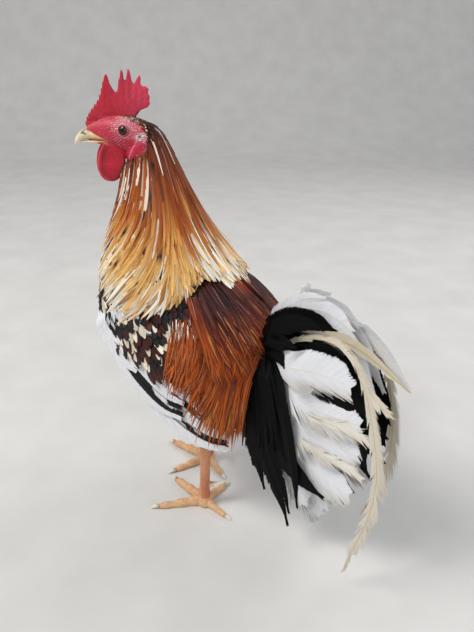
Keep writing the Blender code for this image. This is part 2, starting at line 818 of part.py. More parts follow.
def beak(rows, count):
    rings = []
    for forward, top, low, half in smooth_rows(rows, count):
        centre = head_point(forward, 0, (top + low) / 2)
        rings.append(oval(centre, UP * (top - low) / 2000, HEAD_LEFT * half / 1000, 10, 2.0))
    return loft(rings)


# Wattle outline: distance up, middle forward, half width forward and half thickness in millimetres.
WATTLE_ROWS = [
    (-15.0, 16.0, 9.0, 2.6),
    (-22.0, 16.0, 14.0, 3.0),
    (-32.0, 16.5, 17.0, 3.4),
    (-43.0, 17.5, 17.5, 3.6),
    (-53.0, 18.5, 13.5, 3.2),
    (-60.0, 19.0, 6.0, 2.0),
]


# The wattle's half thickness across it from its back edge to the rim along its front edge.
WATTLE_SECTION = (
    (-1.0, 0.30),
    (-0.75, 0.85),
    (-0.25, 1.0),
    (0.35, 0.80),
    (0.66, 0.50),
    (0.86, 0.98),
    (1.0, 0.45),
)


def wattle(side):
    """A lappet of skin with a raised rim and a shallow fold behind it."""
    rings = []
    shift = 0 if side == LEFT else 5
    for up, forward, half, thick in smooth_rows(WATTLE_ROWS, 7):
        centre = head_point(forward + shift, -side * (8.5 + 0.03 * (-15 - up)), up)
        across, deep = HEAD_FORWARD * half / 1000, HEAD_LEFT * thick / 1000
        outer = [centre + across * place + deep * share for place, share in WATTLE_SECTION]
        inner = [centre + across * place - deep * share for place, share in WATTLE_SECTION]
        rings.append(np.array(outer + inner[::-1]))
    return loft(rings)


# The same for the earlobe.
EARLOBE_ROWS = [
    (-11.0, -22.0, 5.0, 1.5),
    (-16.0, -22.0, 8.5, 2.6),
    (-23.0, -18.0, 9.0, 2.8),
    (-29.0, -13.0, 7.0, 2.4),
    (-33.5, -9.0, 3.0, 1.2),
]


def earlobe(side):
    rings = []
    for up, forward, half, thick in smooth_rows(EARLOBE_ROWS, 6):
        centre = head_point(forward, -side * 17.5, up)
        rings.append(oval(centre, HEAD_FORWARD * half / 1000, HEAD_LEFT * thick / 1000, 8, 2.1))
    return loft(rings)


# Tail

TAIL_ROOT = (0.126, 0.258)
TAIL_SWING = -0.12
TAIL_SHAPE = (0.32, 0.86, 1.0, 0.78, 0.16)
COVERT_SHAPE = (0.45, 0.9, 1.0, 0.85, 0.22)
SICKLE_SHAPE = (0.40, 0.85, 1.0, 0.95, 0.80, 0.55, 0.10)
# The fan of stiff feathers on each side: how many, first and last angle above level and length.
FAN = {"count": 5, "angle": (8, -54), "length": (0.124, 0.186), "width": 0.046, "out": (0.005, 0.016)}
# The soft black feathers that hang from the root: how many, where tips lie, and their width.
HANGING = {"count": 5, "tip_x": (0.112, 0.192), "tip_z": (0.120, 0.072), "width": 0.030, "out": 0.030}
# Long curved feathers one by one: side, distance from the tail's middle, width, then x, z along each.
SICKLES = [
    (LEFT, 0.006, 0.024, ((0.118, 0.272), (0.140, 0.312), (0.177, 0.334), (0.205, 0.337), (0.234, 0.327))),
    (LEFT, 0.003, 0.016, ((0.128, 0.272), (0.146, 0.312), (0.160, 0.338), (0.172, 0.352))),
    (LEFT, 0.009, 0.015, ((0.140, 0.285), (0.162, 0.325), (0.178, 0.342), (0.193, 0.350))),
    (LEFT, 0.012, 0.024, ((0.122, 0.270), (0.150, 0.303), (0.184, 0.318), (0.212, 0.320), (0.236, 0.311))),
    (
        RIGHT, 0.004, 0.022,
        ((0.120, 0.262), (0.152, 0.288), (0.200, 0.310), (0.240, 0.303), (0.275, 0.283), (0.302, 0.266)),
    ),
    (
        LEFT, 0.003, 0.022,
        ((0.125, 0.262), (0.170, 0.288), (0.216, 0.288), (0.242, 0.266), (0.258, 0.224), (0.264, 0.180)),
    ),
    (
        LEFT, 0.031, 0.024,
        (
            (0.130, 0.266), (0.185, 0.305), (0.235, 0.306), (0.264, 0.270),
            (0.281, 0.200), (0.279, 0.120), (0.250, 0.020),
        ),
    ),
    (LEFT, 0.028, 0.012, ((0.200, 0.306), (0.248, 0.292), (0.272, 0.268), (0.293, 0.252))),
    (LEFT, 0.033, 0.012, ((0.255, 0.285), (0.272, 0.250), (0.282, 0.232), (0.292, 0.219))),
    (RIGHT, 0.012, 0.023, ((0.120, 0.270), (0.152, 0.306), (0.190, 0.322), (0.225, 0.313), (0.254, 0.290))),
    (
        RIGHT, 0.031, 0.024,
        (
            (0.128, 0.264), (0.180, 0.298), (0.228, 0.292), (0.254, 0.246),
            (0.262, 0.180), (0.252, 0.100), (0.224, 0.040),
        ),
    ),
]
# The fleshy root of the tail: x, z, half height and half width.
ROOT_ROWS = (
    (0.080, 0.250, 0.024, 0.019),
    (0.110, 0.256, 0.030, 0.022),
    (0.135, 0.258, 0.027, 0.019),
    (0.155, 0.256, 0.017, 0.011),
)


def tail_place(side, x, z, out):
    middle = TAIL_SWING * max(0.0, x - 0.10)
    return np.array([x, middle + side * out, z])


def tail_root():
    rings = []
    for x, z, high, half in ROOT_ROWS:
        rings.append(oval(tail_place(LEFT, x, z, 0), UP * high, np.array([0, half, 0]), 14, 2.0))
    return loft(rings)


def shape_of(shape, count):
    return np.interp(np.linspace(0, 1, count), np.linspace(0, 1, len(shape)), shape)


def fan_feather(side, t):
    """One stiff feather of the fan; t runs from the top one to the lowest."""
    angle = math.radians(np.interp(t, (0, 1), FAN["angle"]) + random.uniform(-1.5, 1.5))
    length = np.interp(t, (0, 1), FAN["length"]) + random.uniform(-0.004, 0.004)
    out = np.interp(t, (0, 1), FAN["out"])
    ahead = np.array([math.cos(angle), math.sin(angle)])
    above = np.array([-math.sin(angle), math.cos(angle)])
    path = []
    for along in (0.06, 0.32, 0.60, 0.85, 1.0):
        arch = 0.010 * math.sin(math.pi * along)
        x, z = np.array(TAIL_ROOT) + ahead * length * along + above * arch
        path.append(tail_place(side, x, z, out))
    return vane(path, np.array(TAIL_SHAPE) * FAN["width"], np.array([0, side, 0.13]))


def hanging_covert(side, number):
    """One soft feather that falls from the root over the outside of the fan."""
    t = number / (HANGING["count"] - 1)
    tip_x = np.interp(t, (0, 1), HANGING["tip_x"])
    tip_z = np.interp(t, (0, 1), HANGING["tip_z"])
    out = HANGING["out"] + 0.003 * (number % 2)
    root_x, root_z = 0.100 + 0.030 * t, 0.266
    path = [
        tail_place(side, root_x, root_z, 0.008),
        tail_place(side, root_x + 0.012 + 0.012 * t, root_z - 0.016, out * 0.86),
        tail_place(side, root_x * 0.45 + tip_x * 0.55 + 0.014 + 0.010 * t, (root_z + tip_z) / 2 + 0.020, out),
        tail_place(side, tip_x, tip_z + random.uniform(-0.008, 0.008), out),
    ]
    widths = shape_of(COVERT_SHAPE, 5) * HANGING["width"]
    return vane(smooth_rows(path, 5), widths, np.array([0.1, side, 0.05]))


def sickle(side, out, width, points):
    """One long curved feather, which leaves the root close to the middle and then swings out."""
    count = max(5, min(7, len(points)))
    path = [tail_place(side, x, z, min(out, 0.008 + 0.4 * max(0.0, x - 0.12))) for x, z in points]
    return vane(smooth_rows(path, count), shape_of(SICKLE_SHAPE, count) * width, np.array([0, side, 0.12]))


def tail_feathers():
    pieces = []
    for side in SIDES:
        pieces += [fan_feather(side, i / (FAN["count"] - 1)) for i in range(FAN["count"])]
        pieces += [hanging_covert(side, i) for i in range(HANGING["count"])]
    return pieces + [sickle(*row) for row in SICKLES]


# Assembly

clear_scene()
PARTS = new_collection("white_hackle_gamefowl")
MATERIALS = {name: new_material(name, values) for name, values in COLOURS.items()}

core = torso_core()
core_tree = tree_of([core])
thighs = {side: thigh(side) for side in SIDES}
wings = {side: [wing_core(side), *wing_vanes(side)] for side in SIDES}
tail_pieces = [tail_root(), *tail_feathers()]
neck_root = neck_core()
head_pieces = [skull(), neck_stub()]

for side, label in SIDES.items():
    make_node(f"wing_{label}", "white", wings[side], [core])
    make_node(f"thigh_{label}", "white", [thighs[side]], [core, *wings[side]])
both_wings = [*wings[LEFT], *wings[RIGHT]]
make_node("tail", "tail_mix", tail_pieces, [core, *both_wings])
wing_tree = tree_of([wing_core(side, 0.008, 0.010) for side in SIDES])
saddle_pieces = saddle(core_tree, [core_tree, wing_tree])
make_coated_node("torso", "body", core, saddle_pieces, [*both_wings, *tail_pieces, *thighs.values()])

lobes = {side: earlobe(side) for side in SIDES}
wattles = {side: wattle(side) for side in SIDES}
face = [*head_pieces, *lobes.values(), *wattles.values()]
hackle_pieces = hackle(tree_of([neck_root, inner_cape()]), [tree_of([grown(core, 0.008)]), wing_tree])
under = [core, *saddle_pieces, *both_wings, *tail_pieces[:1], *face]
make_node("neck", "hackle", [neck_root, inner_cape(), *hackle_pieces], under)

eyes = {side: head_ball((EYE_AT[0], -side * EYE_AT[1], EYE_AT[2]), EYE_RADIUS, 10, 6) for side in SIDES}
beak_top = beak(BEAK_TOP_ROWS, 8)
beak_low = beak(BEAK_LOW_ROWS, 6)
hollows = []
for side in SIDES:
    look = HEAD_LEFT * -side * 0.97 + HEAD_FORWARD * 0.24
    at = head_point(EYE_AT[0], -side * EYE_AT[1], EYE_AT[2]) + unit(look) * 0.0052
    head_pieces.append(ring_round(at, look, 0.0066, 0.0016, 12))
    hollows.append(head_ball((EAR_AT[0], -side * EAR_AT[1], EAR_AT[2]), EAR_RADIUS, 8, 5))
    hollows.append(side_tube(GAPE_LINE, side, [GAPE_RADIUS] * len(GAPE_LINE), 5))
comb_pieces = comb()
nostrils = [side_tube(NOSTRIL, side, NOSTRIL_RADII, 6) for side in SIDES]
make_node("head", "skin_red", head_pieces, [*eyes.values(), beak_top, beak_low, *hollows])
make_node("comb", "skin_red", comb_pieces, head_pieces[:1])
make_node("beak_upper", "horn", [beak_top], [*comb_pieces[:2], *nostrils])
make_node("beak_lower", "horn", [beak_low])
for side, label in SIDES.items():
    make_node(f"eye_{label}", "eye", [eyes[side]])
    make_node(f"wattle_{label}", "skin_red", [wattles[side]], [*head_pieces[:2], beak_low])
    make_node(f"earlobe_{label}", "skin_red", [lobes[side]], head_pieces[:2])
    make_node(f"shank_{label}", "leg", [shank(side)], [thighs[side]])
    spur_piece = spur(side)
    make_node(f"spur_{label}", "horn", [spur_piece], [shank(side)])
    toes = [toe(side, name) for name in TOE_RADIUS]
    make_node(f"foot_{label}", "leg", [foot_pad(side), *toes])
    for name in TOE_RADIUS:
        make_node(f"claw_{name}_{label}", "horn", [claw(side, name)])

# Stand the whole bird over the middle of its own outline.
things = list(PARTS.objects)
corners = np.array([tuple(v.co) for thing in things for v in thing.data.vertices])
shift = -(corners.min(axis=0) + corners.max(axis=0)) / 2
shift[2] = -corners[:, 2].min()
for thing in things:
    for vert in thing.data.vertices:
        vert.co += Vector(shift)
print("shift", [round(float(s), 6) for s in shift])
for thing in things:
    print(thing.name, sum(len(p.vertices) - 2 for p in thing.data.polygons))
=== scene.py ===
# %% [markdown]
# A white hackle gamefowl cock, life size, standing still with its head turned to its left.
# The frame gives the solids and the box that the visual model has to keep to. Every surface that
# shows is made here: one skin, two scaled legs, beak, claws and eyes, and the plumage as thin
# closed vanes. All sizes are in metres unless a name says millimetres.

# %% The frame
import math

import bmesh
import bpy
import numpy as np
from mathutils import Matrix, Vector
from mathutils.bvhtree import BVHTree
from numpy import (
    array, clip, concatenate, cross, hypot, interp, linspace, maximum, minimum, stack, tile, where,
)


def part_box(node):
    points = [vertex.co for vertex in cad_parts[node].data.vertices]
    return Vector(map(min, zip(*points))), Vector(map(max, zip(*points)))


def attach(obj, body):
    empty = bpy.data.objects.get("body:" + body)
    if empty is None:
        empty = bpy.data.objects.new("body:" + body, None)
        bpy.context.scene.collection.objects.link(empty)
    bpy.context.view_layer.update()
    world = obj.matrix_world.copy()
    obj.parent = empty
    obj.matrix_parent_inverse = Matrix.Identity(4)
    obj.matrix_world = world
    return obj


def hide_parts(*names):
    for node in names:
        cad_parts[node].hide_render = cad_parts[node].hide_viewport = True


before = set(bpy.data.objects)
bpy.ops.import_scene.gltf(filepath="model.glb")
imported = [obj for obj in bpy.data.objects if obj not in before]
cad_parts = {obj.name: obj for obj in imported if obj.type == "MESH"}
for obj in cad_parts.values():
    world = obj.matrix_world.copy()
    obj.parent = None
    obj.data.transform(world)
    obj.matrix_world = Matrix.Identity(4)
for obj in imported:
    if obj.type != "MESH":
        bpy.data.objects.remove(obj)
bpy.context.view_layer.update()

draw = np.random.default_rng(7)
LEFT, RIGHT = -1, 1
SIDES = {LEFT: "left", RIGHT: "right"}
UP = array([0.0, 0.0, 1.0])

# %% [markdown]
# The head is turned 38 degrees towards the bird's left, so its parts are measured in a frame of
# their own: forward along the beak, left, and up, in millimetres from a point between the eyes.
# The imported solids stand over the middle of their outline, and the left eye tells how far the
# sizes below have to move to meet them.

# %% Places in the head's own frame
HEAD_TURN = math.radians(38)
HEAD_AT = array([-0.1046, -0.0200, 0.4934])
HEAD_FORWARD = array([-math.cos(HEAD_TURN), -math.sin(HEAD_TURN), 0.0])
HEAD_LEFT = array([math.sin(HEAD_TURN), -math.cos(HEAD_TURN), 0.0])
EYE_AT = (-2.6, 11.5, 1.6)


def head_point(forward, left, up):
    """A place on the head, or rows of places, from millimetres."""
    forward, left, up = (np.asarray(value, float)[..., None] for value in (forward, left, up))
    return HEAD_AT + (HEAD_FORWARD * forward + HEAD_LEFT * left + UP * up) / 1000


eye_low, eye_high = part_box("eye_left")
SHIFT = array((eye_low + eye_high) / 2) - head_point(*EYE_AT)
print("shift to the frame", SHIFT.round(5))

# %% [markdown]
# Small helpers: unit vectors, smooth curves through a few rows of sizes, and closed rings. A curve
# through a handful of measured rows keeps a shape easy to correct against the real animal.

# %% Curves and rings
def held(value):
    """The value, kept between 0 and 1."""
    return clip(value, 0, 1)


def placed(name, data):
    """A new object of the data, in the scene."""
    thing = bpy.data.objects.new(name, data)
    bpy.context.scene.collection.objects.link(thing)
    return thing


def object_of(work, name):
    """A new object of the bmesh."""
    data = bpy.data.meshes.new(name)
    work.to_mesh(data)
    work.free()
    return placed(name, data)


def face_outwards(work):
    bmesh.ops.recalc_face_normals(work, faces=work.faces)


def on_side(side, place):
    """A place on one side of the bird; its second number says how far out it lies."""
    return array([place[0], side * place[1], *place[2:]])


def read_rows(rows, places, at=None):
    """Rows read on straight lines between them."""
    at = linspace(0, 1, len(rows)) if at is None else at
    return stack([interp(places, at, column) for column in rows.T], axis=-1)


def unit(vector):
    vector = np.asarray(vector, float)
    return vector / maximum(np.linalg.norm(vector, axis=-1, keepdims=True), 1e-9)


def along_rows(rows, places):
    """Rows of numbers read at places from 0 to 1 along a Catmull-Rom curve through them."""
    rows = np.asarray(rows, float)
    padded = np.vstack([2 * rows[0] - rows[1], rows, 2 * rows[-1] - rows[-2]])
    step = held(np.asarray(places, float)) * (len(rows) - 1)
    first = minimum(step.astype(int), len(rows) - 2)
    t = (step - first)[..., None]
    a, b, c, d = (padded[first + i] for i in range(4))
    return 0.5 * (2 * b + (c - a) * t + (2 * a - 5 * b + 4 * c - d) * t**2 + (3 * b - a - 3 * c + d) * t**3)


def smooth_rows(rows, count):
    return along_rows(rows, linspace(0, 1, count))


def oval(centre, long_half, side_half, count, power=2.2):
    """A ring round centre; its two half axes are vectors."""
    angle = np.arange(count) * 2 * math.pi / count
    along = np.sign(np.cos(angle)) * np.abs(np.cos(angle)) ** (2 / power)
    aside = np.sign(np.sin(angle)) * np.abs(np.sin(angle)) ** (2 / power)
    return np.asarray(centre) + np.outer(along, long_half) + np.outer(aside, side_half)


# %% [markdown]
# The camera stands where the photographer stood: a little above the bird's head, in front of its
# left shoulder, looking down by 23.7 degrees. The focal length was found from the size of the toes
# against the floor, and the picture isn't shifted.

# %% The camera
VIEW_TURN, VIEW_DOWN = math.radians(38), math.radians(23.7)
CAMERA_AT = array([0.47820296, -0.54028421, 0.581])
camera = placed("photo_camera", bpy.data.cameras.new("photo_camera"))
camera.data.sensor_width = 36.0
camera.data.lens = 36.0 * 600 / 632
camera.data.clip_start = 0.01
camera.location = CAMERA_AT + SHIFT
look = Vector((
    -math.sin(VIEW_TURN) * math.cos(VIEW_DOWN),
    math.cos(VIEW_TURN) * math.cos(VIEW_DOWN),
    -math.sin(VIEW_DOWN),
))
camera.rotation_euler = look.to_track_quat("-Z", "Y").to_euler()
bpy.context.scene.camera = camera
print("camera", camera.location)

# %% [markdown]
# A finish is a Principled shader fed by a few nodes. The colours are written as the sRGB hex
# values of a paint chart and turned to the linear numbers that the shader works with. One small
# function adds any node, sets it up and links it, so that each finish reads as a short recipe.
# Skin, scale and horn share one recipe, in which a noise mottles and lifts the piece's own tint.

# %% Colours and nodes
def linear(code):
    """Linear red, green and blue from an sRGB hex code."""
    parts = array([int(code[i : i + 2], 16) for i in (1, 3, 5)]) / 255
    return where(parts <= 0.04045, parts / 12.92, ((parts + 0.055) / 1.055) ** 2.4)


def new_finish(name):
    made = bpy.data.materials.new(name)
    made.use_nodes = True
    return made, made.node_tree, made.node_tree.nodes["Principled BSDF"]


def add(tree, kind, links=(), settings=(), values=()):
    """Add a node: settings are its properties, values its sockets, links what feeds them."""
    node = tree.nodes.new("ShaderNode" + kind)
    for key, value in dict(settings).items():
        setattr(node, key, value)
    for socket, value in dict(values).items():
        node.inputs[socket].default_value = value
    for socket, source in dict(links).items():
        tree.links.new(source, node.inputs[socket])
    return node


def set_shader(shader, **sockets):
    for name, value in sockets.items():
        shader.inputs[name.replace("_", " ")].default_value = value


# How many grains of each mottle go to a metre: veins 2.4 mm apart, dust on the legs 3.3 mm, the
# layers of horn 3.8 mm and the fibres of the iris 0.7 mm.
VEINS, DUST, HORN_LAYERS, IRIS_FIBRES = 420.0, 300.0, 260.0, 1400.0


def mottled_finish(name, scale, detail, tones, bump, deep, **sockets):
    """A finish with the piece's own tint, made lighter and darker by noise that also lifts it."""
    made, tree, shader = new_finish(name)
    tint = add(tree, "Attribute", settings={"attribute_name": "tint"}).outputs["Color"]
    place = add(tree, "TexCoord").outputs["Object"]
    spots = add(tree, "TexNoise", {"Vector": place}, values={"Scale": scale, **detail}).outputs["Fac"]
    tone = add(tree, "MapRange", {"Value": spots}, values={
        "From Min": 0.3, "From Max": 0.7, "To Min": tones[0], "To Max": tones[1],
    })
    shaded = add(tree, "VectorMath", {0: tint, 3: tone.outputs[0]}, {"operation": "SCALE"})
    tree.links.new(shaded.outputs[0], shader.inputs["Base Color"])
    raised = add(tree, "Bump", {"Height": spots}, values={"Strength": bump, "Distance": deep})
    tree.links.new(raised.outputs["Normal"], shader.inputs["Normal"])
    set_shader(shader, **sockets)
    return made, tree, raised


def ramp(tree, source, stops):
    """A colour ramp from (place, hex code) pairs."""
    node = add(tree, "ValToRGB", {"Fac": source})
    band = node.color_ramp
    while len(band.elements) < len(stops):
        band.elements.new(0.5)
    for element, (place, code) in zip(band.elements, stops):
        element.position = place
        element.color = (*linear(code), 1.0)
    return node


# %% [markdown]
# The stage is a pale sheet that lies on the floor and sweeps up behind, as in a picture studio. It
# is a grid extruded up at its far edge, with the corner rounded by a bevel, in matt paint with a
# faint mottle so that the shadows have something to fall on.

# %% The floor
stage_mesh = bmesh.new()
bmesh.ops.create_grid(stage_mesh, x_segments=1, y_segments=1, size=4.0)
far_edge = max(stage_mesh.edges, key=lambda e: (e.verts[0].co.y + e.verts[1].co.y))
risen = bmesh.ops.extrude_edge_only(stage_mesh, edges=[far_edge])
bmesh.ops.translate(
    stage_mesh, vec=(0, 0, 4.0), verts=[v for v in risen["geom"] if isinstance(v, bmesh.types.BMVert)]
)
bmesh.ops.bevel(
    stage_mesh, geom=[e for e in stage_mesh.edges if len(e.link_faces) == 2], offset=1.2,
    offset_type="OFFSET", affect="EDGES", segments=12, profile=0.5, material=-1,
)
turned = Matrix.Rotation(VIEW_TURN, 3, "Z")
bmesh.ops.rotate(stage_mesh, cent=(0, 0, 0), matrix=turned, verts=stage_mesh.verts)
face_outwards(stage_mesh)
floor = object_of(stage_mesh, "studio_floor")
floor.data.shade_smooth()
paint, tree, shader = new_finish("floor paint, rolled and matt")
place = add(tree, "TexCoord").outputs["Object"]
mottle = add(tree, "TexNoise", {"Vector": place}, values={"Scale": 9.0, "Detail": 3.0})
shade = ramp(tree, mottle.outputs["Fac"], [(0.3, "#d0cecb"), (0.7, "#d9d7d4")])
tree.links.new(shade.outputs["Color"], shader.inputs["Base Color"])
set_shader(shader, Roughness=0.85)
floor.data.materials.append(paint)

# %% [markdown]
# The photograph was taken in open shade: light from the whole sky, stronger from above and from
# the left of the picture. A pale world with soft lamps gives the same, and the plain sRGB view
# keeps the reds and the near black as deep as they are in the photograph.

# %% The light
bpy.context.scene.view_settings.view_transform = "Standard"
world = bpy.data.worlds.new("studio")
bpy.context.scene.world = world
world.use_nodes = True
world.node_tree.nodes["Background"].inputs["Color"].default_value = (0.93, 0.96, 1.0, 1.0)
world.node_tree.nodes["Background"].inputs["Strength"].default_value = 0.50


def soft_lamp(name, at, size, power, tint):
    """A square lamp that looks at the middle of the bird."""
    data = bpy.data.lights.new(name, "AREA")
    data.size = size
    data.energy = power
    data.color = tint
    lamp = placed(name, data)
    lamp.location = at
    lamp.rotation_euler = (Vector((0, 0, 0.28)) - Vector(at)).to_track_quat("-Z", "Y").to_euler()


soft_lamp("key_lamp", (-1.0, -1.8, 2.9), 1.2, 72, (1.0, 0.98, 0.95))
soft_lamp("fill_lamp", (1.9, -0.7, 1.1), 1.6, 9, (0.94, 0.97, 1.0))
soft_lamp("back_lamp", (0.4, 1.7, 1.8), 1.2, 14, (1.0, 1.0, 1.0))

# %% [markdown]
# Forms are drawn as rings, as a boat is drawn by its frames. A grid takes its places from the
# rings, its seam is welded and its open ends are filled, which gives a closed skin with no pole.

# %% Closed forms from rings
made_pieces = []
# How fine each form is fused, in metres.
BODY_VOXEL, HEAD_VOXEL, COMB_VOXEL = 0.0030, 0.00078, 0.0007


def ringed_form(rings):
    """A bmesh through rings of equal count, closed at both ends."""
    rings = np.asarray(rings)
    rows, count = rings.shape[:2]
    work = bmesh.new()
    made = bmesh.ops.create_grid(work, x_segments=count, y_segments=rows - 1, size=1.0)["verts"]
    places = concatenate([rings, rings[:, :1]], axis=1).reshape(-1, 3)
    for vert, place in zip(made, places):
        vert.co = place
    bmesh.ops.remove_doubles(work, verts=work.verts, dist=1e-7)
    bmesh.ops.holes_fill(work, edges=[e for e in work.edges if e.is_boundary], sides=0)
    face_outwards(work)
    return work


def tube_rings(path, radii, count, flat=1.0, up=UP):
    """Rings along a path; flat scales the height of each against its width."""
    path = np.asarray(path, float)
    tangent = unit(np.gradient(path, axis=0))
    across = unit(cross(tangent, up))
    face = cross(across, tangent)
    return [oval(p, f * r * flat, a * r, count, 2.0) for p, f, a, r in zip(path, face, across, radii)]


def joined(forms):
    """One bmesh that holds several."""
    whole = bmesh.new()
    for form in forms:
        data = bpy.data.meshes.new("form")
        form.to_mesh(data)
        form.free()
        whole.from_mesh(data)
        bpy.data.meshes.remove(data)
    return whole


def bake_modifiers(thing):
    """Give the object the mesh that its modifiers make."""
    bpy.context.view_layer.update()
    graph = bpy.context.evaluated_depsgraph_get()
    result = bpy.data.meshes.new_from_object(thing.evaluated_get(graph))
    thing.modifiers.clear()
    old, thing.data = thing.data, result
    bpy.data.meshes.remove(old)
    thing.data.name = thing.name


def melted(forms, name, voxel, smoothing):
    """The forms fused into one closed surface of even small faces."""
    thing = object_of(joined(forms), name)
    fuse = thing.modifiers.new("fuse", "REMESH")
    fuse.mode = "VOXEL"
    fuse.voxel_size = voxel
    soften = thing.modifiers.new("soften", "SMOOTH")
    soften.factor = 0.5
    soften.iterations = smoothing
    bake_modifiers(thing)
    return thing


def points_of(thing, what="co"):
    flat = np.empty(len(thing.data.vertices) * 3)
    thing.data.vertices.foreach_get(what, flat)
    return flat.reshape(-1, 3)


def set_points(thing, points):
    thing.data.vertices.foreach_set("co", np.asarray(points, float).ravel())
    thing.data.update()


def drop(thing):
    data = thing.data
    bpy.data.objects.remove(thing, do_unlink=True)
    bpy.data.meshes.remove(data)


# %% [markdown]
# Under the feathers a cock is a slim, egg-shaped body with a long neck. These rows give the flesh
# from tail root to throat, the folded wings and the thighs. They lie a millimetre or two inside
# the solids, whose vanes the plumage below replaces.

# %% The body under the coat
# Top x, z, bottom x, z and half width, from the tail root to the base of the neck.
TORSO_ROWS = array([
    (100, 268, 98, 225, 22), (75, 292, 72, 188, 42),
    (45, 318, 40, 160, 56), (10, 343, -5, 140, 64),
    (-15, 362, -60, 142, 68), (-30, 378, -112, 170, 68),
    (-40, 394, -148, 220, 60), (-48, 410, -158, 275, 50),
]) / 1000
# Front point, back point, half width and turn in degrees, from the torso up to the skull.
NECK_ROWS = [
    (-0.158, 0.0, 0.275, -0.048, 0.0, 0.410, 0.050, 0),
    (-0.150, 0.0, 0.325, -0.055, 0.0, 0.428, 0.040, 5),
    (-0.132, -0.004, 0.378, -0.058, 0.001, 0.448, 0.031, 15),
    (*head_point(-6, 0, -52), *head_point(-48, 0, -28), 0.024, 30),
    (*head_point(-2, 0, -38), *head_point(-38, 0, -8), 0.020, 38),
]
# Distance along the wing, low edge, high edge, how far out its middle lies and its half thickness.
WING_ROWS = array([
    (0, -14, 22, 58, 8), (20, -26, 38, 61, 9),
    (60, -35, 50, 63, 9), (110, -40, 52, 64, 8.5),
    (160, -43, 40, 62, 8), (205, -40, 18, 60, 6.5),
    (250, -30, -6, 58, 4),
]) / 1000
WRIST = array([-0.125, 0.0, 0.285])
WING_ALONG = array([0.795, 0.0, -0.606])
WING_UP = array([0.606, 0.0, 0.795])
HIPS = {LEFT: (0.018, 0.045, 0.195), RIGHT: (-0.012, 0.043, 0.195)}
HOCKS = {LEFT: (0.040, 0.046, 0.106), RIGHT: (-0.018, 0.040, 0.106)}
FEET = {LEFT: (0.031, 0.042), RIGHT: (-0.029, 0.035)}
TAIL_ROOT_ROWS = array([
    (80, 250, 24, 19), (110, 256, 30, 22),
    (135, 258, 27, 19), (155, 256, 17, 11),
]) / 1000
TAIL_SWING = -0.12
SUNK = 0.0012


def tail_place(side, x, z, out):
    """A place beside the tail's middle line, which swings a little to the left."""
    x, z, out = np.broadcast_arrays(np.asarray(x, float), z, out)
    return stack([x, TAIL_SWING * maximum(0.0, x - 0.10) + side * out, z], axis=-1)


def wing_point(side, along, up, out):
    along, up, out = np.broadcast_arrays(np.asarray(along, float), up, out)
    beside = stack([0 * out, side * out, 0 * out], axis=-1)
    return WRIST + WING_ALONG * along[..., None] + WING_UP * up[..., None] + beside


def turned_ring(row, count, sunk=0.0):
    side = array([math.sin(math.radians(row[7])), -math.cos(math.radians(row[7])), 0])
    front, back = row[:3], row[3:6]
    reach = (back - front) / 2
    return oval((front + back) / 2, reach - unit(reach) * sunk, side * (row[6] - sunk), count, 2.1)


def thigh_line(side):
    hip = on_side(side, HIPS[side])
    hock = on_side(side, HOCKS[side])
    middle = hip * 0.6 + hock * 0.4 + array([-0.004, 0, 0])
    return array([hip, middle, hock * 0.75 + middle * 0.25, hock])


torso_rings = []
for top_x, top_z, low_x, low_z, half in smooth_rows(TORSO_ROWS, 36):
    top, low = array([top_x, 0, top_z]), array([low_x, 0, low_z])
    reach = (top - low) / 2
    torso_rings.append(oval((top + low) / 2, reach - unit(reach) * SUNK, [0, SUNK - half, 0], 40))
body_forms = [ringed_form(torso_rings)]
body_forms.append(ringed_form([turned_ring(row, 40, SUNK) for row in smooth_rows(NECK_ROWS, 24)]))
for side in SIDES:
    rings = []
    for along, low, high, out, half in smooth_rows(WING_ROWS, 26):
        centre = wing_point(side, along, (low + high) / 2, out)
        rings.append(oval(centre, WING_UP * ((high - low) / 2 - SUNK), [0, side * (half - SUNK), 0], 30, 2.4))
    body_forms.append(ringed_form(rings))
    radii = smooth_rows([[0.030], [0.024], [0.0135], [0.0090]], 20)[:, 0] - SUNK
    path = smooth_rows(thigh_line(side), 20)
    body_forms.append(ringed_form(tube_rings(path, radii, 24, up=array([1.0, 0, 0]))))
body_forms.append(ringed_form([
    oval(tail_place(LEFT, x, z, 0), UP * (high - SUNK), [0, half - SUNK, 0], 24, 2.0)
    for x, z, high, half in smooth_rows(TAIL_ROOT_ROWS, 14)
]))
body = melted(body_forms, "body_form", BODY_VOXEL, 6)
print("body faces", len(body.data.polygons))

# %% [markdown]
# The comb is a single blade of skin. Its outline has five ragged points and a toothed front edge.
# A flat plate is cut to that outline, fused to even faces, and then each point of it is set to a
# thickness that grows with its distance from the edge, so that the points stay thin and the base
# swells, as in living skin.

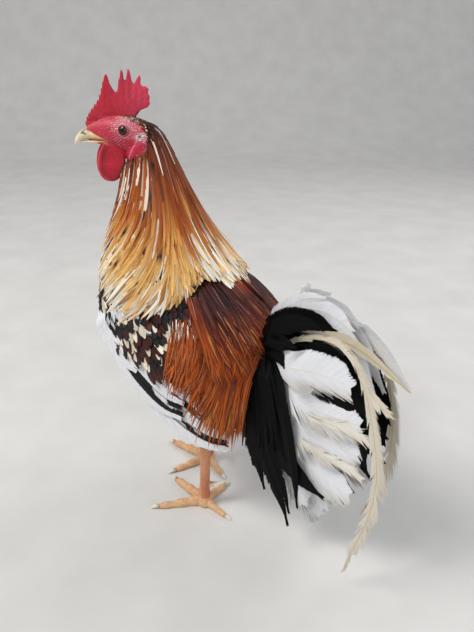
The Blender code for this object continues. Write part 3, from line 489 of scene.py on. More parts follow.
# %% The comb
COMB_PLATE = 5.2
COMB_OUTLINE = array([
    (46.5, 5), (47.2, 10), (44.8, 12.3), (45.2, 15.6), (42.2, 16.6), (42.4, 20.2), (39.2, 21.2), (38.8, 25.2),
    (35.4, 25.8), (34.8, 30.2), (31.4, 30.6), (30.4, 35.4), (27.8, 35.2), (27.4, 41.6), (25.0, 41.0),
    (24.9, 48.0), (22.9, 49.0), (22.6, 55.0), (20.4, 57.0), (19.8, 61.0), (17.2, 65.0), (15.0, 62.0),
    (13.6, 55.0), (10.6, 49.0), (7.2, 43.8), (4.6, 45.4), (3.2, 52.0), (2.6, 57.5), (0.8, 60.5), (-1.2, 70.4),
    (-3.4, 67.0), (-3.8, 58.8), (-5.6, 56.6), (-7.0, 61.5), (-9.2, 71.3), (-11.4, 67.0), (-12.4, 60.0),
    (-14.2, 53.4), (-16.5, 54.8), (-19.0, 59.5), (-22.8, 64.0), (-24.2, 60.0), (-23.0, 53.5), (-25.0, 50.8),
    (-28.6, 51.4), (-33.2, 48.0), (-31.8, 43.0), (-34.0, 39.5), (-33.2, 35.0), (-33.8, 30.5), (-30.5, 26.6),
    (-22.0, 23.6), (-12.0, 12.0), (4.0, 8.0), (24.0, 6.0), (38.0, 5.0),
])


def distance_to_line(points, line):
    """The distance of each 2-D point from a run of straight pieces."""
    start, end = line[:-1], line[1:]
    span = end - start
    reach = points[:, None] - start[None]
    t = held((reach * span).sum(-1) / maximum((span**2).sum(-1), 1e-12))
    return np.linalg.norm(reach - span * t[..., None], axis=-1).min(axis=1)


def head_places(points):
    """Forward, left and up in millimetres of points in the bird's frame."""
    away = (points - HEAD_AT) * 1000
    return stack([away @ HEAD_FORWARD, away @ HEAD_LEFT, away @ UP], axis=-1)


def comb_lean(forward, up):
    """How far the blade waves to the left, in millimetres, more so towards its tips."""
    return 0.045 * maximum(0, up - 18) * np.sin(forward * 0.13 + 0.6)


plate = bmesh.new()
corners = [plate.verts.new(head_point(f, -COMB_PLATE / 2, u)) for f, u in COMB_OUTLINE]
face = plate.faces.new(corners)
risen = bmesh.ops.extrude_face_region(plate, geom=[face])
lifted = [v for v in risen["geom"] if isinstance(v, bmesh.types.BMVert)]
bmesh.ops.translate(plate, vec=HEAD_LEFT * COMB_PLATE / 1000, verts=lifted)
bmesh.ops.triangulate(plate, faces=plate.faces)
face_outwards(plate)
blade = melted([plate], "comb_form", COMB_VOXEL, 2)
f, l, u = head_places(points_of(blade)).T
inside = distance_to_line(stack([f, u], axis=-1), np.vstack([COMB_OUTLINE, COMB_OUTLINE[:1]]))
swell = 1.0 + 3.6 * np.sqrt(held(inside / 15)) * clip(1.25 - u / 80, 0.4, 1)
flutes = 1 + 0.16 * np.sin(f * 0.85 + 0.05 * u) * held((u - 22) / 18)
set_points(blade, head_point(f, comb_lean(f, u) + l / (COMB_PLATE / 2) * swell * flutes, u))
comb_form = bmesh.new()
comb_form.from_mesh(blade.data)
drop(blade)

# %% [markdown]
# The bare head: skull, cheeks, the top of the neck, two wattles, two earlobes and the lids. The
# lids are rings spun round the line that the eye looks along. Everything is fused at three
# quarters of a millimetre, fine enough to carry folds afterwards.

# %% The head's forms
# Forward place, top, bottom and half width in millimetres, from the back of the skull to the beak.
SKULL_ROWS = [
    (-38, 0, -18, 9), (-34, 6, -26, 14), (-24, 12, -33, 18), (-10, 16, -31, 18.5), (4, 17, -26, 17),
    (18, 16, -21, 13.6), (30, 12.5, -17, 9.4), (39, 9, -14, 6.4), (45, 6.0, -11.0, 4.6),
]
# Distance up, middle forward, half width forward and half thickness.
WATTLE_ROWS = [
    (-13.0, 15.0, 9.0, 2.8), (-22.0, 16.0, 14.0, 3.0), (-32.0, 16.5, 17.0, 3.3), (-43.0, 17.5, 17.3, 3.4),
    (-53.0, 18.5, 13.3, 3.0), (-58.0, 19.0, 8.8, 2.4), (-60.6, 19.2, 3.6, 1.4),
]
# Half thickness across the wattle, from its back edge to the raised rim of its front edge.
WATTLE_SECTION = (
    (-1.0, 0.12), (-0.93, 0.55), (-0.75, 0.85), (-0.25, 1.0), (0.30, 0.82), (0.52, 0.50), (0.64, 0.42),
    (0.76, 0.85), (0.88, 1.0), (0.97, 0.62), (1.0, 0.15),
)
EARLOBE_ROWS = [
    (-9.0, -22.0, 5.0, 1.5), (-16.0, -22.0, 8.5, 2.9), (-23.0, -18.0, 9.0, 3.1), (-29.0, -13.0, 7.0, 2.6),
    (-34.0, -9.0, 2.6, 1.2),
]
EYE_RADIUS = 7.6
LID_AWAY = 5.3


def eye_frame(side):
    """The eye's centre and the way it looks, as a unit vector."""
    looks = unit(HEAD_LEFT * -side * 0.97 + HEAD_FORWARD * 0.24)
    return head_point(EYE_AT[0], -side * EYE_AT[1], EYE_AT[2]), looks


def spun_ring(centre, axis, major, minor, count):
    """A ring of round section, spun about an axis."""
    work = bmesh.new()
    made = bmesh.ops.create_circle(work, segments=10, radius=minor)
    spoke = unit(cross(axis, UP))
    turn = stack([spoke, np.asarray(axis), cross(spoke, axis)], axis=-1)
    for vert in made["verts"]:
        vert.co = turn @ array([vert.co.x, vert.co.y, 0.0]) + spoke * major + centre
    bmesh.ops.spin(
        work, geom=[*work.verts, *work.edges], cent=centre, axis=axis, angle=2 * math.pi,
        steps=count, use_merge=True,
    )
    bmesh.ops.remove_doubles(work, verts=work.verts, dist=1e-6)
    face_outwards(work)
    return work


head_forms = [comb_form]
head_forms.append(ringed_form([
    oval(head_point(f, 0, (top + low) / 2), UP * (top - low) / 2000, HEAD_LEFT * half / 1000, 40, 2.15)
    for f, top, low, half in smooth_rows(SKULL_ROWS, 40)
]))
throat = [turned_ring(row, 36) for row in smooth_rows(NECK_ROWS[3:], 6)]
middle, inner = throat[-1].mean(axis=0), head_point(-12, 0, -8)
throat += [
    middle + (throat[-1] - middle) * size + (inner - middle) * t for t, size in ((0.4, 0.96), (0.8, 0.85))
]
head_forms.append(ringed_form(throat))
for side in SIDES:
    shift = 0 if side == LEFT else 5
    rings = []
    for up, forward, half, thick in smooth_rows(WATTLE_ROWS, 34):
        wave = 0.8 * math.sin(up * 0.22 + side) * min(1.0, (-13 - up) / 20)
        centre = head_point(forward + shift, -side * (8.5 + 0.03 * (-15 - up)) + wave, up)
        across, deep = HEAD_FORWARD * half / 1000, HEAD_LEFT * thick / 1000
        section = smooth_rows(WATTLE_SECTION, 30)
        outer = [centre + across * place + deep * share for place, share in section]
        within = [centre + across * place - deep * share for place, share in section]
        rings.append(array(outer + within[::-1]))
    head_forms.append(ringed_form(rings))
    head_forms.append(ringed_form([
        oval(
            head_point(forward, -side * 17.2, up), HEAD_FORWARD * half / 1000, HEAD_LEFT * thick / 1000, 24,
            2.1
        )
        for up, forward, half, thick in smooth_rows(EARLOBE_ROWS, 20)
    ]))
    eye_centre, looks = eye_frame(side)
    for away, major, minor in ((LID_AWAY, 6.5, 1.25), (LID_AWAY - 1.0, 8.6, 1.0)):
        head_forms.append(spun_ring(eye_centre + looks * away / 1000, looks, major / 1000, minor / 1000, 40))
head = melted(head_forms, "head_form", HEAD_VOXEL, 3)
print("head faces", len(head.data.polygons))

# %% [markdown]
# Now the folds. Each point of the head moves along its normal: inwards in the eye socket, the ear,
# and the line of the mouth, and in and out over the cheek, where thin bare skin gathers in creases
# that run from the gape back under the eye. The comb gets a low grain of bumps.

# %% Folds of the face
from mathutils import noise

# The line of the mouth on the left side, behind the beak.
GAPE_LINE = array([(46.0, -10.4), (36.0, -10.9), (30.0, -11.2), (25.0, -11.6), (21.5, -13.2)])
EAR_AT = array([-21.0, -6.0])


def soft_noise(points, size):
    """Smooth noise from -1 to 1 with features about size across, in metres."""
    return array([noise.noise(Vector(p) / size) for p in points])


def near(distance, radius):
    return np.exp(-((distance / radius) ** 2))


def on_cheek_of(f, l, u):
    return near(hypot((f - 2) / 1.35, u + 11), 12) * held((np.abs(l) - 6) / 5) * (u < 12)


def creases_of(points, f, u):
    return np.sin((u + 0.55 * f) * 1.9 + soft_noise(points, 0.0045) * 2.4)


points, normals = points_of(head), points_of(head, "normal")
f, l, u = head_places(points).T
aside = np.abs(l)
flat_place = stack([f, u], axis=-1)
on_cheek = on_cheek_of(f, l, u)
coarse = soft_noise(points, 0.0045)
fine = soft_noise(points + 1.0, 0.0017)
creases = creases_of(points, f, u)
move = on_cheek * (0.34 * creases + 0.25 * fine)
eye_distance = hypot(f - EYE_AT[0], u - EYE_AT[2])
ring_zone = near(eye_distance - 10.5, 3.2) * (aside > 12)
move += ring_zone * 0.22 * np.sin(eye_distance * 3.6 + coarse)
mouth = distance_to_line(flat_place, GAPE_LINE)
move -= 1.1 * near(mouth, 0.85) * (aside > 3)
move -= 1.9 * near(hypot(f - EAR_AT[0], u - EAR_AT[1]), 2.6) * (aside > 12)
is_comb = (u > 17.5) | ((f > 30) & (u > 12))
is_wattle = (u < -19) & (f > -3) & (aside > 3.5)
move += is_comb * 0.16 * fine + is_wattle * 0.10 * fine + 0.10 * coarse
move += near(hypot(f - 2, u - 14), 9) * 0.30 * fine
points += normals * move[:, None] / 1000
for side in SIDES:
    # The skin dips behind the eyeball inside the ring of the lids.
    eye_centre, looks = eye_frame(side)
    away = points - eye_centre
    depth = away @ looks
    spread = np.linalg.norm(away - depth[:, None] * looks, axis=-1)
    ball = np.sqrt(maximum(0, (EYE_RADIUS / 1000) ** 2 - spread**2)) - 0.0012
    deep = (spread < 0.0056) & (depth > 0)
    points -= looks * (maximum(0, depth - ball) * deep)[:, None]
set_points(head, points)


def united(first, second, name):
    """Two closed surfaces joined into one."""
    step = first.modifiers.new("join", "BOOLEAN")
    step.operation = "UNION"
    step.object = second
    step.solver = "MANIFOLD"
    bake_modifiers(first)
    drop(second)
    first.name = first.data.name = name
    return first


# Edges shorter than this are slivers that the union leaves; they are closed up.
SLIVER = 2e-6
skin = united(body, head, "skin")
work = bmesh.new()
work.from_mesh(skin.data)
bmesh.ops.dissolve_degenerate(work, edges=work.edges, dist=SLIVER)
bmesh.ops.delete(work, geom=[e for e in work.edges if not e.link_faces], context="EDGES")
gaps = [e for e in work.edges if len(e.link_faces) == 1]
print("open edges", len(gaps), "crowded edges", sum(len(e.link_faces) > 2 for e in work.edges))
if gaps:
    bmesh.ops.holes_fill(work, edges=gaps, sides=0)
print("skin faces", len(work.faces), "open edges now", sum(len(e.link_faces) != 2 for e in work.edges))
work.to_mesh(skin.data)
work.free()
skin_tree = BVHTree.FromPolygons(
    [Vector(p) for p in points_of(skin)], [tuple(p.vertices) for p in skin.data.polygons]
)

# %% [markdown]
# Bare poultry skin is thin and full of blood. The comb is deepest in colour at its front, the
# cheeks are pinker, the wattle has a paler rim and the earlobe a whitish edge. The colour goes
# into an attribute of the skin, worked out from where each point lies on the head, and below the
# head it takes the colours of the coat that covers it.

# %% The colours of the skin
def blend(tints, code, share):
    share = held(share)[:, None]
    return tints * (1 - share) + linear(code) * share


def even(code, rows):
    """One colour for as many rows."""
    return tile(linear(code), (len(rows), 1))


def painted(tints, coats):
    """The colours after each (hex code, share) of the coats is laid over them."""
    for code, share in coats:
        tints = blend(tints, code, share)
    return tints


def give_tint(thing, tints):
    colours = concatenate([held(tints), np.ones((len(tints), 1))], axis=1)
    thing.data.color_attributes.new("tint", "FLOAT_COLOR", "POINT").data.foreach_set("color", colours.ravel())


def head_tints(points):
    f, l, u = head_places(points).T
    aside = np.abs(l)
    speck = soft_noise(points, 0.0012)
    mottle = soft_noise(points, 0.004)
    away = hypot(f - EYE_AT[0], u - EYE_AT[2])
    creases, cheek = creases_of(points, f, u), on_cheek_of(f, l, u)
    comb = (u > 17.5) | ((f > 30) & (u > 11))
    wattle = (u < -17) & (f > -3.5) & (aside > 3.0) & (aside < 14.5)
    rim = interp(u, [-60, -53, -43, -32, -22, -15], [22, 31, 34, 33, 29.5, 25]) + 5 * (l < 0)
    lobe = (aside > 13.5) & (f < -3) & (f > -33) & (u < -9) & (u > -36)
    outline = interp(u, [-34, -29, -23, -16, -10], [3.0, 7.2, 9.2, 8.8, 5.4])
    centre = interp(u, [-34, -29, -23, -16, -10], [-9, -13, -18, -22, -22])
    ear = near(hypot((f - EAR_AT[0]) / 1.4, u - EAR_AT[1]) + 0.8 * mottle, 4.2) * (aside > 11)
    gape = distance_to_line(stack([f, u], axis=-1), GAPE_LINE) * where(aside > 3, 1, 9)
    pale = near(hypot(f + 6, u - 12), 11) * held(0.55 + 0.8 * speck)
    return painted(even("#bf2f44", points), [
        # Cheeks and the bare skin round the eye.
        ("#cf5a6c", 0.55 * near(away - 11, 5) + 0.25 * mottle),
        # Painted shade in the troughs of the cheek creases and a painted highlight on their crests.
        ("#7e1524", cheek * held(0.5 - creases) * 0.8),
        ("#e08a98", cheek * held(creases + mottle - 0.5) * 0.5),
        # The comb, darkest in front at its base.
        ("#b3122a", comb),
        ("#cb3350", comb * clip((16 - f) / 40, 0, 0.85)),
        ("#97101f", comb * clip((f - 22) / 26, 0, 0.5) * held((30 - u) / 20)),
        ("#d8506a", comb * 0.35 * held(speck)),
        # Wattles, with a paler rim and painted shade in the fold inside it.
        ("#b4132a", wattle),
        ("#d64458", wattle * near(f - rim, 3.0) * 0.75),
        ("#860c1c", wattle * near(f - rim + 7.5, 3.0) * 0.75),
        ("#cf3044", wattle * held(speck) * 0.5),
        # Earlobes and ears.
        ("#bb2440", lobe),
        ("#dc8590", lobe * near(np.abs(f - centre) - outline + 0.8, 1.1) * 0.6),
        ("#dcb9b9", 0.8 * ear),
        # Painted shade in the ear opening.
        ("#5b2a2c", near(hypot(f - EAR_AT[0], u - EAR_AT[1]), 1.7) * (aside > 11)),
        # Lids.
        ("#8c2c38", near(away - 6.4, 1.2) * (aside > 13) * 0.8),
        ("#d8a0a2", near(away - 8.2, 0.7) * (aside > 13) * 0.5),
        ("#6e3230", near(away - 5.2, 0.7) * (aside > 14) * 0.7),
        # The corner of the mouth.
        ("#e0a56e", near(gape, 2.0) * 0.85 * (f > 19)),
        # Painted shade in the line of the mouth.
        ("#4d1a16", near(gape, 0.5) * 0.8),
        # Pale thin skin over the eye.
        ("#e2a8b0", 0.75 * pale * (u < 17)),
    ])


def body_tint(roots):
    """The plumage's colour at each place of the body, which the skin beneath has too."""
    x, y, z = roots.T
    tints = even("#dddad6", roots)
    level = interp(x, [-0.14, -0.10], [-0.25, 0.10]) - 0.18 * (x < -0.120) * (z > 0.195)
    black = (soft_noise(roots, 0.016) > level) & (z < 0.33)
    tints[black] = linear("#17151a")
    shoulder = (z > 0.235) & (x < -0.03) & (np.abs(y) > 0.03) & (soft_noise(roots, 0.010) > -0.35)
    tints[shoulder & ~((x < -0.13) & black)] = linear("#35120d")
    back = (z > 0.245 + 0.35 * held(-x)) & (x > -0.06)
    tints[back] = linear("#4a1c14")
    tints[(x > 0.060) & (z > 0.225)] = linear("#5a2412")
    tints[(x > 0.082) & (z > 0.20)] = linear("#0c0c0d")
    tints[(~back) & (x > -0.01) & (x < 0.075) & (z > 0.20)] = linear("#7e3a16")
    neck_part = z > 0.33 + 0.25 * held(-0.05 - x)
    tints[neck_part & (x < -0.02)] = linear("#7a3614")
    return tints


# The edge of the feathered neck on each side of the face: how far forward it lies at each height.
HAIRLINE = array([
    (-56, 8), (-48, 8), (-40, 4), (-34, -3), (-30, -15), (-20, -30),
    (-5, -31), (5, -24), (12, -14), (15, -5), (18, 6),
])
points = points_of(skin)
f, l, u = head_places(points).T
bare_edge = interp(u, HAIRLINE[:, 0], HAIRLINE[:, 1])
bare = held((f - bare_edge + 2) / 3) * (u > -62) * (hypot(f, l) < 75) * (points[:, 2] > 0.42)
bare = maximum(bare, held((u - 17.0) / 2.0) * (np.abs(l) < 8))
share = bare[:, None]
give_tint(skin, head_tints(points) * share + body_tint(points) * (1 - share))

# %% [markdown]
# The finish of the bare skin is living tissue: light goes a little way in and comes back red, so
# the shader scatters it. Its surface is a fine pebble of papillae, about 0.8 mm across, with a
# satin shine. The veins are a slow noise in the colour.

# %% Bare skin
PAPILLA = 0.0009
bare_skin, tree, raised = mottled_finish(
    "bare poultry skin, thin and papillated", VEINS, {
        "Detail": 4.0, "Roughness": 0.6
    }, (0.78, 1.18), 0.55, 0.0004,
    Roughness=0.46, Subsurface_Weight=0.25, Subsurface_Radius=(0.006, 0.0016, 0.0012),
    Subsurface_Scale=0.5, Specular_IOR_Level=0.4,
)
place = add(tree, "TexCoord").outputs["Object"]
pebble = add(tree, "TexVoronoi", {"Vector": place}, {"feature": "SMOOTH_F1"}, {"Scale": 1 / PAPILLA})
raised.invert = True
tree.links.new(pebble.outputs["Distance"], raised.inputs["Height"])
skin.data.materials.clear()
skin.data.materials.append(bare_skin)
skin.data.shade_smooth()

# %% [markdown]
# Shank and toes are covered in horny scales. Down the front of the shank run two columns of broad
# scutes, each lapping over the one below, and small round scales cover its sides and back. Each
# toe has one row of scutes on top and soft pads beneath. The scales are in the shape itself: the
# rings are set closer than half a millimetre and their radius steps at every scute.

# %% Legs and feet
TOES = {
    LEFT: {
        "middle": (-0.031, -0.032), "outer": (-0.012, -0.088), "inner": (0.032, 0.001),
        "hind": (0.071, -0.046)
    },
    RIGHT: {
        "middle": (-0.098, 0.034), "outer": (-0.070, 0.082), "inner": (-0.049, -0.016), "hind": (0.011, 0.020)
    },
}
TOE_RADIUS = {"middle": 0.0062, "outer": 0.0054, "inner": 0.0054, "hind": 0.0044}
SHANK_RADIUS = 0.0074
SCUTE, TOE_SCUTE, PEBBLE = 0.0034, 0.0027, 0.0021
CLAW_LONG = 0.012
CLAW_GAP = 0.0003


def dressed(thing, finish, slot, *nodes):
    """Give a piece its one finish, and hide the nodes that it takes the place of; the slot is not used."""
    thing.data.materials.clear()
    thing.data.materials.append(finish)
    thing.data.shade_smooth()
    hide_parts(*nodes)
    made_pieces.append(thing)


def scute_relief(along, angle, pitch, half_width, columns):
    """Height of the scales in metres: angle 0 is the middle of the scutes."""
    offset = 0.5 * (angle > 0) if columns == 2 else 0.0
    lap = 1 - ((along / pitch + offset) % 1.0)
    plate = 0.00042 * lap**0.8
    plate -= 0.00030 * near(np.abs(angle) - half_width, 0.10)
    if columns == 2:
        plate -= 0.00026 * near(angle, 0.07)
    around = angle * 0.0072 / PEBBLE * math.pi
    small = 0.00016 * np.cos(around) * np.cos(along / PEBBLE * math.pi)
    inside = held((half_width - np.abs(angle)) / 0.08 + 0.5)
    return inside * plate + (1 - inside) * small


def ring_of(at, first, second, angles, radii):
    return at + np.outer(np.cos(angles) * radii, first) + np.outer(np.sin(angles) * radii, second)


def toe_line(side, toe):
    base = on_side(side, (*FEET[side], 0.0))
    tip = array([*TOES[side][toe], 0.0])
    return base, tip, unit(tip - base)


def scaled_shank(side):
    hock = on_side(side, HOCKS[side]) + UP * 0.004
    foot = on_side(side, (*FEET[side], 0.01))
    front = toe_line(side, "middle")[2]
    beside = cross(UP, front)
    angles = linspace(-math.pi, math.pi, 48, endpoint=False)
    rings = []
    for t in linspace(0, 1, 230):
        at = hock * (1 - t) + foot * t
        knuckle = 0.0020 * math.exp(-((t / 0.10) ** 2)) + 0.0016 * math.exp(-(((1 - t) / 0.14) ** 2))
        radius = SHANK_RADIUS - 0.0006 * math.sin(math.pi * t) + knuckle
        oval_radius = radius * (1.0 + 0.10 * np.cos(2 * angles))
        relief = scute_relief(at[2], angles, SCUTE, 0.95, 2)
        rings.append(ring_of(at, front, beside, angles, oval_radius + relief - 0.0002))
    return ringed_form(rings)


def scaled_toe(side, name):
    base, tip, ahead = toe_line(side, name)
    radius = TOE_RADIUS[name]
    length = np.linalg.norm(tip - base)
    aside = cross(UP, ahead)
    angles = linspace(-math.pi, math.pi, 32, endpoint=False)
    joints = 2 if name == "hind" else 3
    rings = []
    for t in linspace(0, 1, int(length / 0.00045)):
        pad = 0.10 * math.cos(2 * math.pi * (t * joints + 0.5))
        size = radius * (1.10 - 0.38 * t + pad)
        blunt = math.sqrt(max(0.02, 1 - max(0.0, (t - 0.965) / 0.035) ** 2)) if t > 0.965 else 1.0
        high = size + (1 - t) ** 2 * 0.003
        at = base + ahead * (0.002 + (length - 0.002) * t) + UP * high * 0.82
        relief = scute_relief(length * (1 - t), angles, TOE_SCUTE, 0.95, 1)
        ring = at + np.outer(np.cos(angles) * (high * blunt + relief), UP)
        ring += np.outer(np.sin(angles) * (size * blunt + relief), aside)
        ring[:, 2] = maximum(ring[:, 2], 0.0)
        rings.append(ring)
    return ringed_form(rings)


def foot_ball(side):
    rings = []
    at = on_side(side, (*FEET[side], 0.0))
    for z, size in smooth_rows([(0.0, 0.0090), (0.003, 0.0112), (0.009, 0.0108), (0.0167, 0.0080)], 20):
        rings.append(oval(at + UP * z, array([size * 1.1, 0, 0]), array([0, size, 0]), 32, 2.0))
    return ringed_form(rings)


def leg_tints(points, side):
    x, y, z = points.T
    foot = on_side(side, FEET[side])
    away = hypot(x - foot[0], y - foot[1])
    tints = even("#d39468", points)
    tints = painted(tints, [
        ("#dcb182", held((0.022 - z) / 0.014)),
        ("#d79c84", clip((away - 0.045) / 0.03, 0, 0.8)),
    ])
    back = (points[:, :2] - foot) @ -toe_line(side, "middle")[2][:2]
    tints = painted(tints, [
        ("#b9644c", clip(back / 0.007, 0, 0.75) * (z > 0.016) * clip((0.075 - z) / 0.04, 0.2, 1)),
        ("#7d4a2c", 0.30 * held(soft_noise(points, 0.0030))),
    ])
    return blend(tints, "#5c3a26", clip((0.0008 - z) / 0.0008, 0, 0.6))


leg_skin, _, _ = mottled_finish(
    "leg scale, horn grown in overlapping scutes", DUST, {
        "Detail": 5.0, "Roughness": 0.65
    }, (0.80, 1.12), 0.3, 0.0002,
    Roughness=0.48, Subsurface_Weight=0.08, Subsurface_Radius=(0.004, 0.0015, 0.001), Subsurface_Scale=0.4,
)

for side, label in SIDES.items():
    leg = object_of(scaled_shank(side), f"leg_{label}")
    for form in [foot_ball(side), *(scaled_toe(side, name) for name in TOE_RADIUS)]:
        leg = united(leg, object_of(form, "form"), f"leg_{label}")
    give_tint(leg, leg_tints(points_of(leg), side))
    dressed(leg, leg_skin, "leg", f"shank_{label}", f"foot_{label}")
    leg.data.set_sharp_from_angle(angle=math.radians(50))
    print(leg.name, "faces", len(leg.data.polygons))

# %% [markdown]
# Beak, claws and spurs are horn: keratin laid down in layers over bone, smooth and a little
# translucent. The upper beak hooks over the lower and has a nostril on each side, pressed into
# its base. Colour is ivory, with a dark streak at the nostril.

# %% Horn
horn, _, _ = mottled_finish(
    "ivory horn, grown in layers and worn smooth", HORN_LAYERS, {
        "Detail": 3.0, "Distortion": 1.2
    }, (0.86, 1.08), 0.15, 0.0002,
    Roughness=0.30, Subsurface_Weight=0.12, Subsurface_Radius=(0.003, 0.002, 0.0012), Subsurface_Scale=0.4,
)

# Forward, top, bottom and half width in millimetres, from the gape to the tip.
BEAK_TOP_ROWS = [
    (22.0, -8.6, -10.2, 10.6), (28.0, -6.0, -10.4, 10.6), (34.0, -2.4, -10.6, 9.6), (40.0, 1.2, -10.4, 8.0),
    (45.3, 3.2, -10.2, 6.9), (52.0, 0.8, -11.8, 5.2),
    (58.0, -4.5, -14.5, 3.4), (61.5, -10.0, -18.0, 1.9), (62.6, -16.0, -20.5, 0.7),
]
BEAK_LOW_ROWS = [
    (23.0, -11.4, -13.2, 10.4), (
        28.0, -11.4, -13.8, 10.0
    ), (34.0, -11.4, -14.6, 8.4), (44.0, -11.2, -14.6, 5.6),
    (52.0, -12.6, -14.6, 2.6),
    (55.0, -13.6, -14.6, 1.2),
]
NOSTRIL = array([(46.6, -4.2), (49.6, -3.2), (52.0, -3.0)])


def finish_horn(thing, tints, *nodes):
    give_tint(thing, tints)
    dressed(thing, horn, "horn", *nodes)


def beak_form(rows, count, power):
    return ringed_form([
        oval(head_point(f, 0, (top + low) / 2), UP * (top - low) / 2000, HEAD_LEFT * half / 1000, 36, power)
        for f, top, low, half in smooth_rows(rows, count)
    ])


upper = object_of(beak_form(BEAK_TOP_ROWS, 60, 1.9), "beak_upper_horn")
points = points_of(upper)
f, l, u = head_places(points).T
dent = near(distance_to_line(stack([f, u], axis=-1), NOSTRIL), 0.95)
l = l * (1 - 0.34 * dent * (np.abs(l) > 1.5))
edge = near(u - interp(f, [34, 45, 52, 58, 62], [-10.0, -9.6, -11.2, -14.0, -18]), 0.7)
set_points(upper, head_point(f, l * (1 + 0.05 * edge), u))
tints = even("#e0cca4", points)
tints = painted(tints, [
    ("#eee0c6", held((f - 50) / 9)),
    ("#c9a06c", clip((40 - f) / 10, 0, 0.6)),
    (
        "#54443a",
        near(
            distance_to_line(stack([f, u], axis=-1), array([(40, 1.5), (47, 1.0), (51, -1.5)])), 1.5
        ) * 0.8
    ),
    # Painted shade in the nostril.
    ("#2c201c", dent * 0.9),
    ("#6e5a48", edge * clip((56 - f) / 8, 0, 0.55)),
])
finish_horn(upper, tints, "beak_upper")

lower = object_of(beak_form(BEAK_LOW_ROWS, 44, 2.0), "beak_lower_horn")
f, l, u = head_places(points_of(lower)).T
tints = even("#e3cfa9", f)
tints = painted(tints, [
    ("#d99c62", clip((38 - f) / 10, 0, 0.7)),
    # Painted shade along the top of the lower beak, under the edge of the upper one.
    ("#5a483c", clip((u + 11.8) / 1.0, 0, 0.7)),
])
finish_horn(lower, tints, "beak_lower")


def claw_form(side, name):
    """A curved claw that carries on the line of its toe."""
    _, tip, ahead = toe_line(side, name)
    radius = TOE_RADIUS[name] * 0.52
    aside = cross(UP, ahead)
    rings = []
    for along, size, height in smooth_rows(
        [(0, 1.0, 1.35), (0.35, 0.92, 1.45), (0.70, 0.64, 1.10), (1, 0.16, 0.40)], 18
    ):
        at = tip + ahead * (CLAW_GAP + CLAW_LONG * along) + UP * radius * height
        rings.append(oval(at, UP * radius * size * 1.1, aside * radius * size, 18, 2.0))
    return ringed_form(rings)


def spur_form(side):
    z = 0.036
    t = z / HOCKS[side][2]
    axis = on_side(side, FEET[side]) * (1 - t) + on_side(side, HOCKS[side])[:2] * t
    away = unit(array([0.80, -side * 0.60, 0.0]))
    start = array([*axis, z]) + away * 0.004
    bend, tip = start + away * 0.017 + UP * 0.0025, start + away * 0.022 + UP * 0.007
    path = smooth_rows([start, start + away * 0.010, bend, tip], 26)
    radii = smooth_rows([[0.0042], [0.0037], [0.0029], [0.0019], [0.0007]], 26)[:, 0]
    return ringed_form(tube_rings(path, radii, 20))


for side, label in SIDES.items():
    claws = object_of(joined([claw_form(side, name) for name in TOE_RADIUS]), f"claws_{label}")
    points = points_of(claws)
    away = np.min([
        np.linalg.norm(points[:, :2] - array(TOES[side][name]), axis=1) for name in TOE_RADIUS
    ], axis=0)
    tints = blend(even("#a98462", points), "#e8dcc6", held(away / 0.006))
    finish_horn(claws, tints, *(f"claw_{name}_{label}" for name in TOE_RADIUS))
    spur_horn = object_of(spur_form(side), f"spur_{label}_horn")
    points = points_of(spur_horn)
    out = (points[:, 0] - points[:, 0].min()) / np.ptp(points[:, 0])
    tints = blend(even("#c99c70", points), "#efe6d4", held(out * 2.2 - 0.4))
    finish_horn(spur_horn, tints, f"spur_{label}")

# %% [markdown]
# The eye is a wet ball with a slight bulge where the cornea stands out. Its colours are rings
# about the line of sight: a black pupil, an olive brown iris with darker edge, and a pale rim.
# The ball is a sphere made round that line, and the rings are drawn from distance in Object
# coordinates, so they stay put in every view.

# %% The eyes
for side, label in SIDES.items():
    eye_centre, looks = eye_frame(side)
    work = bmesh.new()
    bmesh.ops.create_uvsphere(work, u_segments=48, v_segments=32, radius=EYE_RADIUS / 1000)
    turn = Vector(looks).to_track_quat("Z", "Y").to_matrix()
    bmesh.ops.rotate(work, cent=(0, 0, 0), matrix=turn, verts=work.verts)
    for vert in work.verts:
        away = vert.co.dot(Vector(looks)) / (EYE_RADIUS / 1000)
        vert.co += Vector(looks) * 0.0005 * math.exp(-((1 - away) / 0.10) ** 2)
    bmesh.ops.translate(work, vec=eye_centre, verts=work.verts)
    ball = object_of(work, f"eyeball_{label}")
    eye_finish, tree, shader = new_finish(f"wet eye, cornea over a pigmented iris, {label}")
    place = add(tree, "TexCoord").outputs["Object"]
    front = Vector(eye_centre + SHIFT + looks * EYE_RADIUS / 1000)
    apart = add(tree, "VectorMath", {0: place}, {"operation": "DISTANCE"}, {1: front})
    fibre = add(tree, "TexNoise", {"Vector": place}, values={"Scale": IRIS_FIBRES, "Detail": 3.0})
    spread = add(
        tree, "Math", {0: fibre.outputs["Fac"], 2: apart.outputs["Value"]}, {"operation": "MULTIPLY_ADD"},
        {1: 0.0007},
    )
    reach = add(
        tree, "MapRange", {"Value": spread.outputs[0]}, values={"From Min": 0.0, "From Max": 0.0070}
    )
    rings = ramp(tree, reach.outputs[0], [
        (0.0, "#030202"), (0.40, "#050303"), (0.45, "#22120a"), (0.56, "#4a2812"), (0.66, "#3a1e0e"),
        (0.74, "#140b08"), (0.82, "#5c3a30"), (1.0, "#8a5c50"),
    ])
    tree.links.new(rings.outputs["Color"], shader.inputs["Base Color"])
    set_shader(shader, Roughness=0.16, Coat_Weight=0.25, Coat_Roughness=0.04, Specular_IOR_Level=0.25)
    dressed(ball, eye_finish, "eye", f"eye_{label}")

# %% [markdown]
# A feather is a thin blade with a raised shaft. The smallest shape that still reads as one, seen
# from any side, is a closed strip with three corners to each section: left edge, shaft, right
# edge. Thousands of them are made at once as arrays, because an operator for each would be slow.
# Each keeps its own colour along its length, its place in millimetres across and along the vane
# for the barbs, and a patch on an unwrap of the skin for the export's bake.

# %% The vane maker
PATCH = 0.003


